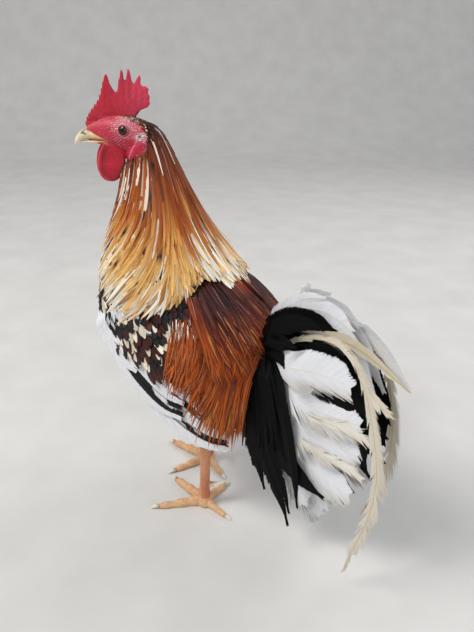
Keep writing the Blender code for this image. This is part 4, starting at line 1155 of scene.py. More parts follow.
def vane_group(lines, facing, widths, tints, spots, thick=0.00045, cup=0.10):
    """Arrays for many closed vanes: lines and facing are (n, s, 3), widths (n, s), spots (n, 2)."""
    count, steps = lines.shape[:2]
    tangent = unit(np.gradient(lines, axis=1))
    across = unit(cross(tangent, facing))
    face = cross(across, tangent)
    half = widths[..., None] / 2
    left = lines - across * half - face * half * cup
    right = lines + across * half - face * half * cup
    points = stack([left, lines + face * thick, right], axis=2).reshape(-1, 3)
    k = np.arange(steps - 1)[:, None] * 3
    quads = concatenate([k + [0, 1, 4, 3], k + [1, 2, 5, 4], k + [2, 0, 3, 5]])
    last = 3 * (steps - 1)
    ends = array([[0, 2, 1], [last, last + 1, last + 2]])
    base = np.arange(count)[:, None, None] * steps * 3
    run = np.linalg.norm(np.diff(lines, axis=1), axis=-1)
    along = concatenate([np.zeros((count, 1)), np.cumsum(run, axis=1)], axis=1) * 1000
    grain = stack([
        stack([-widths * 500, 0 * widths, widths * 500], axis=-1), np.repeat(along[..., None], 3, axis=-1)
    ], axis=-1).reshape(-1, 2)
    place = along / maximum(along[:, -1:], 1e-6) - 0.5
    patch = stack([
        np.broadcast_to(array([-0.5, 0.0, 0.5]), (count, steps, 3)), np.repeat(place[..., None], 3, axis=-1)
    ], axis=-1) * PATCH + spots[:, None, None, :]
    return {
        "points": points, "quads": (base + quads).reshape(-1, 4), "ends": (base + ends).reshape(-1, 3),
        "tints": np.repeat(tints.reshape(-1, 3), 3, axis=0), "grain": grain, "patch": patch.reshape(-1, 2),
    }


def plumage(name, groups, finish):
    """One object from groups of vanes."""
    start, corners, sizes = 0, [], []
    for group in groups:
        for key, size in (("quads", 4), ("ends", 3)):
            corners.append((group[key] + start).ravel())
            sizes.append(np.full(len(group[key]), size))
        start += len(group["points"])
    corners, sizes = concatenate(corners), concatenate(sizes)
    whole = {key: concatenate([g[key] for g in groups]) for key in ("points", "tints", "grain", "patch")}
    data = bpy.data.meshes.new(name)
    data.vertices.add(start)
    data.loops.add(len(corners))
    data.polygons.add(len(sizes))
    data.vertices.foreach_set("co", whole["points"].ravel())
    data.loops.foreach_set("vertex_index", corners.astype(np.int32))
    data.polygons.foreach_set("loop_start", (np.cumsum(sizes) - sizes).astype(np.int32))
    data.update(calc_edges=True)
    for layer, key in (("OFBake", "patch"), ("Grain", "grain")):
        data.uv_layers.new(name=layer).data.foreach_set("uv", whole[key][corners].astype(np.float32).ravel())
    colours = concatenate([whole["tints"], np.ones((start, 1))], axis=1)
    data.color_attributes.new("tint", "FLOAT_COLOR", "POINT").data.foreach_set("color", colours.ravel())
    data.shade_smooth()
    data.set_sharp_from_angle(angle=math.radians(55))
    data.materials.append(finish)
    thing = placed(name, data)
    made_pieces.append(thing)
    print(name, "triangles", int((sizes - 2).sum()))
    return thing


def shape_along(shape, places):
    """A width profile read at places from 0 to 1."""
    return interp(places, linspace(0, 1, len(shape)), shape)


def tint_stops(places, stops):
    """Linear colours read between hex codes at places."""
    at = [stop for stop, _ in stops]
    table = array([linear(code) for _, code in stops])
    return read_rows(table, places, at)


def varied(tints, amount):
    """The colours a little lighter or darker from one feather to the next."""
    change = 1 + draw.normal(0, amount, (len(tints), 1, 1))
    return clip(tints * clip(change, 0.45, 1.7), 0, 0.95)


# %% [markdown]
# Feather is keratin with a silky lustre across the barbs. The finish takes each vane's colour and
# draws the barbs on it: slanting lines that leave the shaft towards the tip. Real barbs are a
# third of a millimetre apart, too fine to show here, so they are drawn 1.3 mm apart. The shaft is
# a shade paler, and a little sheen stands for light caught in the fringe.

# %% Feather finishes
def feather_finish(name, roughness, sheen, spacing, shaft, coat=0.0, specular=0.2):
    made, tree, shader = new_finish(name)
    tint = add(tree, "Attribute", settings={"attribute_name": "tint"}).outputs["Color"]
    grain = add(tree, "UVMap", settings={"uv_map": "Grain"}).outputs["UV"]
    axes = add(tree, "SeparateXYZ", {"Vector": grain})
    away = add(tree, "Math", {0: axes.outputs["X"]}, {"operation": "ABSOLUTE"})
    slant = add(
        tree, "Math", {0: away.outputs[0], 2: axes.outputs["Y"]}, {"operation": "MULTIPLY_ADD"}, {1: -1.3}
    )
    wobble = add(tree, "TexNoise", {"Vector": grain}, values={"Scale": 0.35, "Detail": 2.0})
    bent = add(
        tree, "Math", {0: wobble.outputs["Fac"], 2: slant.outputs[0]}, {"operation": "MULTIPLY_ADD"},
        {1: 2.5},
    )
    turns = add(tree, "Math", {0: bent.outputs[0]}, {"operation": "MULTIPLY"}, {1: 2 * math.pi / spacing})
    barbs = add(tree, "Math", {0: turns.outputs[0]}, {"operation": "SINE"})
    shaft_near = add(
        tree, "MapRange", {"Value": away.outputs[0]},
        values={"From Min": 0.35, "From Max": 0.7, "To Min": shaft, "To Max": 1.0},
    )
    depth = add(
        tree, "MapRange", {"Value": barbs.outputs[0]},
        values={"From Min": -1.0, "From Max": 1.0, "To Min": 0.84, "To Max": 1.10},
    )
    strength = add(
        tree, "Math", {0: depth.outputs[0], 1: shaft_near.outputs[0]}, {"operation": "MULTIPLY"}
    )
    shaded = add(tree, "VectorMath", {0: tint, 3: strength.outputs[0]}, {"operation": "SCALE"})
    tree.links.new(shaded.outputs[0], shader.inputs["Base Color"])
    raised = add(
        tree, "Bump", {"Height": barbs.outputs[0]}, values={"Strength": 0.35, "Distance": 0.0003}
    )
    tree.links.new(raised.outputs["Normal"], shader.inputs["Normal"])
    set_shader(
        shader, Roughness=roughness, Sheen_Weight=sheen, Sheen_Roughness=0.4, Coat_Weight=coat,
        Specular_IOR_Level=specular,
    )
    return made


silky = feather_finish("hackle feather, grown silky and long", 0.42, 0.06, 1.3, 1.3)
matt_feather = feather_finish("contour feather, grown soft and matt", 0.62, 0.08, 1.3, 1.15)
vane_barb = feather_finish("quill feather, barbs hooked to a flat vane", 0.55, 0.06, 0.9, 1.0)

# %% [markdown]
# The hackle is a cape of lancets that hangs from the nape and throat to the shoulders. Its outer
# face is a surface of rings, and every feather runs down that surface from a root that lies a
# little below it, over the roots of the ones beneath, as tiles do. On each side the lie sweeps
# forward towards the breast. Colour runs from dark rust through gold to cream at the skirt.

# %% The hackle
CAPE_ROWS = [
    (*head_point(7, 0, -37), *head_point(-20, 0, 12), 0.019, 38),
    (*head_point(9, 0, -54), *head_point(-38, 0, 5), 0.026, 34),
    (*head_point(8, 0, -68), *head_point(-52, 0, -16), 0.034, 28),
    (-0.140, -0.006, 0.385, -0.012, 0.002, 0.408, 0.049, 12),
    (-0.155, -0.002, 0.345, 0.020, 0.0, 0.368, 0.063, 4),
    (-0.167, 0.0, 0.305, 0.050, 0.0, 0.338, 0.074, 0),
    (-0.167, 0.0, 0.262, 0.075, 0.0, 0.312, 0.080, 0),
]


def cape_point(down, angle, stand):
    """A place on the cape; angle 0 is the nape, a quarter turn the left side, a half the throat."""
    rows = along_rows(CAPE_ROWS, down)
    beyond = maximum(down - 1, 0)[..., None]
    rows = rows + beyond * (
        along_rows(CAPE_ROWS, np.ones(1)) - along_rows(CAPE_ROWS, np.full(1, 0.95))
    ) / 0.05
    front, back, half, turn = rows[..., :3], rows[..., 3:6], rows[..., 6:7], np.radians(rows[..., 7])
    side = stack([np.sin(turn), -np.cos(turn), 0 * turn], axis=-1)
    middle = (front + back) / 2
    spoke = (back - middle) * np.cos(angle)[..., None] + side * half * np.sin(angle)[..., None]
    return middle + spoke * stand[..., None], unit(spoke)


def hackle_rows(first, last, step, spacing):
    """Staggered roots over the cape: how far down and at which angle."""
    down, angle = [], []
    for number, start in enumerate(np.arange(first, last, step)):
        rows = along_rows(CAPE_ROWS, start)
        wide, deep = np.linalg.norm(rows[3:6] - rows[:3]) / 2, rows[6]
        count = int(2 * math.pi * math.sqrt((wide**2 + deep**2) / 2) / spacing)
        angles = (np.arange(count) + 0.5 * (number % 2)) * 2 * math.pi / count
        angle.append(angles + draw.normal(0, 0.25 / count, count) * 2 * math.pi)
        down.append(start + draw.uniform(-0.5, 0.5, count) * step)
    return held(concatenate(down)), concatenate(angle)


HACKLE_TINTS = [
    (0.00, "#26110a"), (0.12, "#4a1e0d"), (0.26, "#74300f"), (0.42, "#924312"), (0.52, "#ab5e1d"),
    (0.62, "#ca8c44"), (0.74, "#d9a960"), (0.88, "#dbb06c"), (1.00, "#cd9c58"),
]
LANCET = (0.30, 0.75, 1.0, 1.0, 0.90, 0.66, 0.12)
# How far down the cape ends and where cream sets in, by the angle in degrees away from the nape.
CAPE_ENDS = ((0, 12, 22, 31, 39, 46, 60, 90, 180), (0.93, 0.90, 0.82, 0.81, 0.90, 0.98, 1.06, 1.07, 1.03))
CREAM_FROM = ((0, 22, 36, 52, 66, 80, 100, 180), (0.60, 0.62, 0.96, 0.90, 0.78, 0.70, 0.62, 0.58))


def hackle(first, last, step, spacing, long, wide, stand_out, steps=8, inner=0.86):
    """A group of hackle lancets whose roots lie between two places down the cape."""
    down, angle = hackle_rows(first, last, step, spacing)
    root, _ = cape_point(down, angle, np.full(len(down), 0.97))
    f, l, u = head_places(root).T
    bare = (f > interp(u, HAIRLINE[:, 0], HAIRLINE[:, 1]) - 1.5) & (u > -50)
    down, angle = down[~bare], angle[~bare]
    count = len(down)
    t = linspace(0, 1, steps)[None]
    round_ = np.degrees(np.abs((angle + math.pi) % (2 * math.pi) - math.pi))
    length = interp(down, [0, 0.15, 0.35, 0.6, 0.8], long) * draw.uniform(0.75, 1.15, count)
    end = minimum(down + length, interp(round_, *CAPE_ENDS) + draw.uniform(-0.09, 0.045, count))
    keep = end > down + 0.10
    down, angle, round_, end, count = down[keep], angle[keep], round_[keep], end[keep], int(keep.sum())
    v = down[:, None] + (end - down)[:, None] * t
    # Near the nape the lie runs straight back; on the sides it sweeps forward, more and more.
    forward = np.sin(angle) * clip((round_ - 26) / 34, -0.35, 1)
    sweep = 1.75 * (v**2.2 - down[:, None] ** 2.2) * forward[:, None]
    sway = draw.normal(0, 0.045, (count, 1)) * t * (0.3 + 0.7 * v)
    turned = angle[:, None] + sweep + sway
    lift = stand_out + draw.normal(0, 0.006, (count, 1))
    stand = inner + (1 - inner) * held(t / 0.35) ** 0.7 + lift * t
    stand = stand + 0.02 * t**3 * draw.normal(0, 1, (count, 1))
    lines, spoke = cape_point(v, turned, stand)
    size = draw.uniform(0.6, 1.2, (count, 1)) * (0.34 + 0.66 * held((v - 0.05) / 0.6))
    widths = shape_along(LANCET, t) * wide * size
    shift = draw.normal(0, 0.060, (count, 1)) - 0.10 * held(np.cos(angle))[:, None] * (v < 0.86)
    tints = tint_stops(held(0.72 * v + 0.28 * (down[:, None] + 0.46 * t) + shift), HACKLE_TINTS)
    fresh = draw.random((count, 1))
    from_ = interp(round_, *CREAM_FROM)[:, None] + draw.normal(0, 0.09, (count, 1)) + 0.5 * (fresh < 0.24)
    cream = held((v - from_) / 0.14)[..., None]
    tints = tints * (1 - cream) + linear("#e3dccb") * cream
    chance = interp(round_, [0, 30, 45, 60, 120, 180], [0.04, 0.05, 0.06, 0.16, 0.20, 0.12])[:, None]
    pale = (fresh > 1 - chance) * clip((v - maximum(down[:, None], 0.08)) / 0.06, 0, 0.92)
    tints = tints + (linear("#e4dac8") - tints) * pale[..., None]
    rusty = (draw.random((count, 1)) < 0.16)[..., None] & (cream < 0.5)
    tints = where(rusty, tints * array([0.66, 0.50, 0.42]), tints)
    nape = held((46 - round_[:, None]) / 25) * held((0.50 - v) / 0.35)
    tints = tints * (1 - 0.55 * nape[..., None])
    black_at = draw.uniform(0.3, 1.15, (count, 1)) + (draw.random((count, 1)) < 0.86) * 9
    speck = (np.abs(t - black_at) < 0.08)[..., None] & (v[..., None] > 0.3)
    tints = where(speck, linear("#1a1212"), tints)
    spots = stack([(angle / (2 * math.pi)) % 1 * 0.96 + 0.02, down * 0.96 + 0.02], axis=-1)
    return vane_group(lines, spoke, widths, varied(tints, 0.12), spots)


HACKLE_LONG = (0.17, 0.25, 0.34, 0.40, 0.28)
plumage("hackle_under", [
    hackle(0.02, 0.84, 0.030, 0.0085, HACKLE_LONG, 0.013, -0.10, inner=0.62),
    hackle(0.02, 0.86, 0.030, 0.0075, HACKLE_LONG, 0.012, -0.045, inner=0.72),
], silky)
plumage("hackle_cape", [
    hackle(0.0, 0.88, 0.0180, 0.0058, HACKLE_LONG, 0.0098, 0.0),
    hackle(0.0, 0.84, 0.0380, 0.0070, HACKLE_LONG, 0.0070, 0.012),
    hackle(0.0, 0.74, 0.0450, 0.0080, HACKLE_LONG, 0.0028, 0.020),
], silky)


# %% [markdown]
# Over the body the feathers are short and rounded and lie flat. Their roots are scattered over the
# skin no closer than a set distance, and each centre line walks along the skin the way the coat
# lies, rising a little as it goes so that it covers the roots of the next.

# %% Feathers that follow the skin
NEIGHBOURS = [(i, j, k) for i in (-1, 0, 1) for j in (-1, 0, 1) for k in (-1, 0, 1)]


def scattered(mask, spacing, tries):
    """Roots and normals on the part of the skin that the mask keeps, evenly spread."""
    data = skin.data
    centres = np.empty(len(data.polygons) * 3)
    data.polygons.foreach_get("center", centres)
    areas = np.empty(len(data.polygons))
    data.polygons.foreach_get("area", areas)
    centres = centres.reshape(-1, 3)
    kept = np.flatnonzero(mask(centres))
    picks = draw.choice(kept, size=tries, p=areas[kept] / areas[kept].sum())
    jitter = draw.normal(0, 1, (tries, 3)) * np.sqrt(areas[picks])[:, None] * 0.5
    cells, roots, normals = {}, [], []
    for place in centres[picks] + jitter:
        spot, normal, _, _ = skin_tree.find_nearest(Vector(place))
        cell = tuple(math.floor(value / spacing) for value in spot)
        around = (cells.get((cell[0] + i, cell[1] + j, cell[2] + k), ()) for i, j, k in NEIGHBOURS)
        if not any((other - spot).length < spacing for others in around for other in others):
            cells.setdefault(cell, []).append(spot)
            roots.append(tuple(spot))
            normals.append(tuple(normal))
    return array(roots), array(normals)


def walked(roots, normals, ways, lengths, steps, rise, sag=0.0):
    """Centre lines that walk over the skin from their roots; rise is the height at the tip."""
    lines = np.empty((len(roots), steps, 3))
    facing = np.empty_like(lines)
    for i, (root, normal, way, length) in enumerate(zip(roots, normals, ways, lengths)):
        place, up = Vector(root), Vector(normal)
        way = Vector(way)
        stride = length / (steps - 1)
        for k in range(steps):
            share = k / (steps - 1)
            lines[i, k] = place + up * (-0.0006 + rise * share**0.8)
            facing[i, k] = up
            way = way - up * way.dot(up)
            way = (way.normalized() + Vector((0, 0, -sag * share))).normalized()
            ahead = place + way * stride
            spot, up_next, _, distance = skin_tree.find_nearest(ahead)
            # Past an edge of the body the feather keeps going instead of curling under.
            if (ahead - spot).dot(up_next) > 0.0015 and k > steps // 2:
                place = ahead
            else:
                place = spot
                up = (up + up_next * 1.2).normalized()
    return lines, facing


def wing_places(points):
    away = points - WRIST
    return away @ WING_ALONG, away @ WING_UP, np.abs(points[:, 1])


def on_wing(points):
    along, up, out = wing_places(points)
    rows = WING_ROWS
    low, high = interp(along, rows[:, 0], rows[:, 1]), interp(along, rows[:, 0], rows[:, 2])
    middle = interp(along, rows[:, 0], rows[:, 3])
    near_rows = (along > -0.004) & (along < 0.25) & (out > middle - 0.004)
    return near_rows & (up > low - 0.002) & (up < high + 0.002)


def on_thigh(points):
    return (points[:, 2] < 0.165) & (
        np.abs(points[:, 1]) > 0.018
    ) & (points[:, 0] > -0.06) & (points[:, 2] > 0.100)


def is_head(points):
    f, l, u = head_places(points).T
    return (u > -60) & (hypot(f, l) < 62) & (points[:, 2] > 0.425)


def on_body(points):
    under_cape = (points[:, 2] > 0.335 + 0.25 * (points[:, 0] + 0.10)) & (points[:, 0] < -0.01)
    return ~on_wing(points) & ~on_thigh(points) & ~is_head(points) & ~under_cape


BODY_WAY = array([0.78, 0.0, -0.63])
CONTOUR = (0.45, 0.9, 1.0, 0.85, 0.22)
WHOLE_MAP = (0.01, 0.01, 0.97)


def patches(roots, size, level):
    """True where a blotch of the dark colour lies."""
    return soft_noise(roots, size) > level


def unwrap(points, square):
    """Where roots lie on an unwrap of the body: round it and along it, in a part of the map."""
    low_u, low_v, size = square
    turn = np.arctan2(points[:, 1], points[:, 2] - 0.26) / (2 * math.pi) + 0.5
    along = held((points[:, 0] + 0.18) / 0.36)
    return stack([low_u + size * turn, low_v + size * along], axis=-1)


def laid(mask, spacing, tries, way, stray, long, rise, wide, shape=CONTOUR, steps=5, bend=None):
    """Roots, centre lines, faces and widths of feathers on the skin, all pointing about one way.

    long and wide are a size, or a function of the roots that gives one, and the least and the
    most share of it; bend changes the ways of some of the roots.
    """
    roots, normals = scattered(mask, spacing, tries)
    count = len(roots)
    ways = way + draw.normal(0, stray, (count, 3))
    if bend:
        ways = bend(ways, roots)
    size = long[0](roots) if callable(long[0]) else long[0]
    lengths = size * draw.uniform(*long[1:], count)
    lines, facing = walked(roots, normals, ways, lengths, steps, rise)
    profile = shape_along(shape, linspace(0, 1, steps))[None]
    return roots, lines, facing, profile * wide[0] * draw.uniform(*wide[1:], (count, 1))


def coat(roots, lines, facing, widths, tints, change):
    return vane_group(lines, facing, widths, varied(tints, change), unwrap(roots, WHOLE_MAP))


def plain_tints(code, count):
    return tile(linear(code), (count, len(t), 1))


def flat_under_belly(ways, roots):
    return ways * stack(
        [*np.ones((2, len(roots))), clip((roots[:, 2] - 0.165) / 0.06, 0.05, 1)], axis=-1
    )


t = linspace(0, 1, 5)
roots, *vanes = laid(
    on_body, 0.0068, 26000, BODY_WAY, 0.07, (0.026, 0.8, 1.25), 0.0034, (0.0125, 0.8, 1.2),
    bend=flat_under_belly,
)
tints = np.repeat(body_tint(roots)[:, None], len(t), axis=1)
# Each feather is darker towards its root and a little lighter at its tip: painted shade where the feathers in
# front lie over it.
tints = tints * interp(t, [0, 0.4, 1], [0.55, 0.9, 1.06])[None, :, None]
plumage("body_coat", [coat(roots, *vanes, tints, 0.10)], matt_feather)

# %% [markdown]
# The thighs wear short soft white feathers that point down to the hock.

# %% The thighs
def thigh_long(roots):
    return interp(roots[:, 2], [0.105, 0.125, 0.165], [0.007, 0.014, 0.022])


roots, *vanes = laid(
    on_thigh, 0.0040, 14000, array([0.18, 0.0, -1.0]), 0.10, (thigh_long, 0.8, 1.2), 0.0022,
    (0.0058, 0.7, 1.2), shape=(0.5, 0.9, 1.0, 0.7, 0.12),
)
tints = plain_tints("#dcd8d0", len(roots))
tints[patches(roots, 0.014, 0.38)] = linear("#2a2422")
plumage("thigh_coat", [coat(roots, *vanes, tints, 0.08)], matt_feather)

# %% [markdown]
# Quill feathers, in the wing and the tail, have a stiff pale shaft and two vanes of barbs. Here
# each barb is a narrow strip that leaves the shaft at a slant and bends towards the tip. Barbs
# hold together in clumps, and where two clumps part the vane splits, as on any feather that has
# been lived in.

# %% Quill feathers
def quill(path, facing, width, number, out_of, barbs, tint, shape, lean=0.95, steps=4,
          shaft_tint="#d9c9a6", wear=(0.0, 0.0)):
    """The barbs and the shaft of one feather; tint gives colours for places along and across it.

    Wear is from 0 to 1 on each side: the barbs lie closer to the shaft, thin out and part.
    """
    fine = smooth_rows(path, 60)
    run = concatenate([[0], np.cumsum(np.linalg.norm(np.diff(fine, axis=0), axis=1))])
    long = run[-1]
    at = lambda places: read_rows(fine, places * long, run)
    ahead = lambda places: unit(at(minimum(places + 0.02, 1)) - at(maximum(places - 0.02, 0)))
    groups = []
    for side, worn in zip((-1, 1), wear):
        t = linspace(0.03, 0.985, barbs) + draw.normal(0, 0.15 / barbs, barbs)
        cuts = np.sort(draw.random(max(2, int(barbs / 13))))
        clump = np.searchsorted(cuts, t)
        centre = array(
            [t[clump == c].mean() if (clump == c).any() else 0 for c in range(len(cuts) + 1)]
        )[clump]
        open_ = draw.uniform(0, 1, len(cuts) + 1)[clump]
        raised = draw.normal(0, 0.00006 + 0.0010 * worn, len(cuts) + 1)[clump]
        reach = shape_along(shape, held(t + 0.06)) * width / 2
        reach = reach * draw.normal(1.0, 0.012 + 0.13 * worn, barbs).clip(0.6, 1.3)
        q = linspace(0, 1, steps)[None]
        slant = lean + 1.7 * worn**2 + 0.9 * held(t - 0.86) / 0.14
        forth = reach[:, None] * slant[:, None] * (0.75 * q + 0.35 * q**2)
        forth += ((centre - t) * long * (0.04 + 0.66 * worn) * open_)[:, None] * q**1.5
        forth = minimum(forth, ((1.0 - t) * long * 1.0 + 0.003)[:, None] * q)
        base, way = at(t), ahead(t)
        look = unit(read_rows(facing, t))
        across = unit(cross(way, look))
        up = cross(across, way)
        lines = base[:, None] + across[:, None] * side * (reach[:, None] * q)[..., None]
        lines += way[:, None] * forth[..., None]
        lines += up[:, None] * ((raised[:, None] * q) - 0.10 * reach[:, None] * q**2)[..., None]
        spacing = long / barbs
        thin = [1.6, 1.9 - 0.9 * worn, 1.8 - 1.45 * worn, 0.6 - 0.5 * worn]
        widths = spacing * interp(q, [0, 0.3, 0.75, 1], thin) * np.ones((barbs, 1))
        looks = np.repeat(up[:, None], steps, axis=1)
        tints = tint(t[:, None] + 0 * q, q * side + 0 * t[:, None])
        spots = stack([
            np.full(barbs, (number + 0.5 + 0.22 * side) / out_of * 0.96 + 0.02), 0.02 + 0.96 * t
        ], axis=-1)
        groups.append(vane_group(lines, looks, widths, varied(tints, 0.030), spots, thick=0.00015, cup=0.06))
    t = linspace(0, 1, 14)
    lines = at(t)[None]
    look = unit(read_rows(facing, t))[None]
    widths = interp(t, [0, 0.2, 1], [0.0026, 0.0019, 0.0006])[None]
    tints = tile(linear(shaft_tint), (1, 14, 1))
    spot = array([[(number + 0.5) / out_of * 0.96 + 0.02, 0.5]])
    groups.append(vane_group(lines, look, widths, tints, spot, thick=0.0006, cup=0.6))
    return groups


def plain(code, dark=None, level=0.3, size=0.012, seed=0.0, edge=None, lower=1):
    """The colour of a quill feather, paler or darker to the lower edge, with blotches of a dark one."""
    def tint(along, across):
        made = tile(linear(code), (*along.shape, 1))
        if edge:
            share = held((across * lower - 0.45) / 0.5)[..., None]
            made = made * (1 - share) + linear(edge) * share
        if dark:
            places = stack([along * 0.15 + seed, across * 0.012, 0 * along + seed * 3], axis=-1)
            blot = soft_noise(places.reshape(-1, 3), size).reshape(along.shape) > level
            made[blot] = linear(dark)
        return made
    return tint

# %% [markdown]
# Between the comb and the hackle the crown has short dark lancets with cream ones, the ear is
# closed by a tuft of fine grey bristles, and the bare face has a thin stubble of hair-like
# feathers, longest over the eye. They are the smallest vanes on the bird, set one by one on the
# skin.

# %% Crown, ear and stubble
def small_feathers(mask, spacing, tries, way, length, width, codes, steps=4, rise=0.0016):
    """Short feathers on a part of the head that point along way, in one of the given colours."""
    roots, lines, facing, widths = laid(
        mask, spacing, tries, way, 0.22, (length, 0.6, 1.3), rise, (width, 0.7, 1.2),
        (0.5, 1.0, 0.8, 0.12), steps,
    )
    table = array([linear(code) for code in codes])
    tints = np.repeat(table[draw.integers(0, len(codes), len(roots))][:, None], steps, axis=1)
    f, _, u = head_places(roots).T
    spots = stack([(f + 70) / 150, (u + 70) / 130], axis=-1) * 0.96 + 0.02
    return vane_group(lines, facing, widths, varied(tints, 0.12), spots, thick=0.00012)


def on_crown(points):
    f, l, u = head_places(points).T
    edge = interp(u, HAIRLINE[:, 0], HAIRLINE[:, 1])
    off_comb = (u < 16.5) | (np.abs(l) > 5.5)
    return (f < edge + 2.0) & (f > -40) & (u > -4) & (u < 22) & (points[:, 2] > 0.43) & off_comb


def on_ear(points):
    f, l, u = head_places(points).T
    return (hypot((f - EAR_AT[0]) / 1.4, u - EAR_AT[1]) < 4.6) & (np.abs(l) > 9)


def on_throat(points):
    f, l, u = head_places(points).T
    edge = interp(u, HAIRLINE[:, 0], HAIRLINE[:, 1])
    return (f < edge + 1.0) & (f > -22) & (f < 2) & (u > -62) & (u < -32) & (np.abs(l) < 16)


def on_brow(points):
    f, l, u = head_places(points).T
    away = hypot(f - EYE_AT[0], u - EYE_AT[2])
    return (away > 9.5) & (away < 18) & (u > 1) & (u < 16) & (f < 18) & (np.abs(l) > 4)


def on_face(points):
    f, l, u = head_places(points).T
    away = hypot(f - EYE_AT[0], u - EYE_AT[2])
    clear = (u > -15) | (f < -5)
    return (away > 9.5) & (f > -26) & (f < 30) & (u > -30) & (u < 14) & (np.abs(l) > 5) & clear


back_and_down = -HEAD_FORWARD * 0.9 - UP * 0.35
plumage("crown_feathers", [
    small_feathers(on_crown, 0.0017, 8000, back_and_down, 0.0075, 0.0016,
                   ("#1d100b", "#3a1a0e", "#5c280f", "#ddd0bc", "#2a150c"), rise=0.0012),
    small_feathers(on_throat, 0.0021, 4000, -UP * 0.9 - HEAD_FORWARD * 0.2, 0.0100, 0.0024,
                   ("#1d100b", "#3a1a0e", "#6d3012", "#8a4418"), rise=0.0030),
    small_feathers(
        on_ear, 0.0012, 1500, -HEAD_FORWARD - UP * 0.2, 0.0042, 0.0006, ("#d9cfca", "#b9aaa8", "#efe9e4")
    ),
    small_feathers(on_brow, 0.0016, 2500, -HEAD_FORWARD, 0.0030, 0.00045, ("#efdcd8", "#d8b8b4", "#f2e6e0")),
    small_feathers(
        on_face, 0.0034, 1200, -HEAD_FORWARD - UP * 0.4, 0.0018, 0.00034, ("#e9cfcc", "#c98a90", "#2c1a18")
    ),
], silky)

# %% [markdown]
# The folded wing lies along the flank, from the wrist at the shoulder down and back to the tip.
# Its long quills bow along the lower edge, and the lowest lies outermost and makes a broad smooth
# pale band. Over their roots lie two rows of coverts, and over those the small dark spangled
# feathers of the shoulder. Places are distances along and up the wing, in millimetres.

# %% The wings
# Each tier: how many quills, barbs and width, how far the first and last stand off the wing, and
# the lines of its lowest and highest quill.
WING_TIERS = [
    {
        "count": 12, "width": 24, "off": (5.0, 1.6), "barbs": 100, "black": (2, 3, 7, 8),
        "low": ((34, -6), (86, -22), (125, -31), (160, -37), (192, -34), (220, -26), (246, -12), (264, 8)),
        "high": ((70, 34), (100, 34), (130, 32), (160, 30), (190, 30), (212, 34), (232, 42), (246, 54)),
    },
    {
        "count": 10, "width": 22, "off": (8.0, 5.0), "barbs": 66, "black": (1, 2, 6),
        "low": ((18, -10), (48, -20), (80, -28), (108, -33), (136, -34), (160, -31), (182, -24), (198, -14)),
        "high": ((44, 40), (62, 42), (80, 42), (98, 42), (116, 43), (132, 45), (148, 48), (160, 52)),
    },
    {
        "count": 9, "width": 17, "off": (8.6, 7.4), "barbs": 36, "black": (3, 4, 5),
        "low": ((10, -12), (26, -19), (42, -24), (58, -27), (74, -28), (88, -27), (100, -25), (112, -20)),
        "high": ((30, 38), (42, 40), (54, 41), (64, 42), (74, 43), (84, 44), (92, 46), (100, 48)),
    },
]
WING_SHAPE = (0.40, 0.88, 1.0, 1.0, 1.0, 0.92, 0.70, 0.25)


def wing_outside(along):
    rows = WING_ROWS
    return interp(along, rows[:, 0], rows[:, 3]) + interp(along, rows[:, 0], rows[:, 4])


def wing_quills(side):
    groups, number = [], 0
    total = sum(row["count"] for row in WING_TIERS)
    for row in WING_TIERS:
        low, high = array(row["low"]) / 1000, array(row["high"]) / 1000
        for i in range(row["count"]):
            t = i / (row["count"] - 1)
            place = low * (1 - t) + high * t
            reach = linspace(0, 1, len(place))
            place = place + draw.uniform(-0.003, 0.002) * WING_REACH * reach[:, None]
            off = interp(t, (0, 1), row["off"]) / 1000
            out = wing_outside(place[:, 0]) + off * held(reach / 0.2) - 0.003 * (reach < 0.1)
            path = wing_point(side, place[:, 0], place[:, 1], out)
            facing = tile(array([0, side, 0.0]) + WING_UP * 0.10, (len(place), 1))
            seed = float(draw.uniform(0, 9))
            if i in row["black"]:
                tint = plain("#0d0d10", "#e6e6ea", 0.30, 0.035, seed)
            else:
                tint = plain("#ebecf0", "#141318", 0.95 if i < 2 else 0.55, 0.040, seed)
            groups += quill(path, facing, row["width"] / 1000, number, total, row["barbs"], tint, WING_SHAPE,
                            lean=1.25, steps=3, shaft_tint="#1a1718" if i in row["black"] else "#dedad0")
            number += 1
    return groups


WING_REACH = array([1.0, 0.0])
for side, label in SIDES.items():
    plumage(f"wing_quills_{label}", wing_quills(side), vane_barb)


def on_shoulder(points):
    x, y, z = points[:, 0], np.abs(points[:, 1]), points[:, 2]
    above = (x > -0.125) & (x < 0.015) & (z > 0.245) & (z < 0.325) & (y > 0.034)
    along, up, _ = wing_places(points)
    over = up > interp(along, [0.0, 0.049, 0.075, 0.106], [-0.030, -0.011, -0.003, 0.011])
    return (on_wing(points) & (along < 0.125) & over) | above


def on_wrist(points):
    along, up, _ = wing_places(points)
    return on_wing(points) & (along < 0.058) & (up < 0.004) & ~on_shoulder(points)


def covert_long(roots):
    return interp(wing_places(roots)[0], [0, 0.05, 0.12], [0.018, 0.024, 0.028])


def small_coverts(mask, spacing, drop):
    """Short round feathers, lifted to lie over the roots of the quills."""
    roots, lines, facing, widths = laid(
        mask, spacing, 12000, WING_ALONG - UP * drop, 0.10, (covert_long, 0.85, 1.25), 0.0040,
        (0.0135, 0.75, 1.2), (0.5, 1.0, 1.0, 0.85, 0.25),
    )
    lift = interp(wing_places(roots)[0], [0, 0.03, 0.06], [0.0010, 0.0060, 0.0100])
    lines += facing * (lift[:, None] * interp(t, [0, 0.3, 1], [0.2, 0.9, 1.0]))[..., None]
    return roots, lines, facing, widths


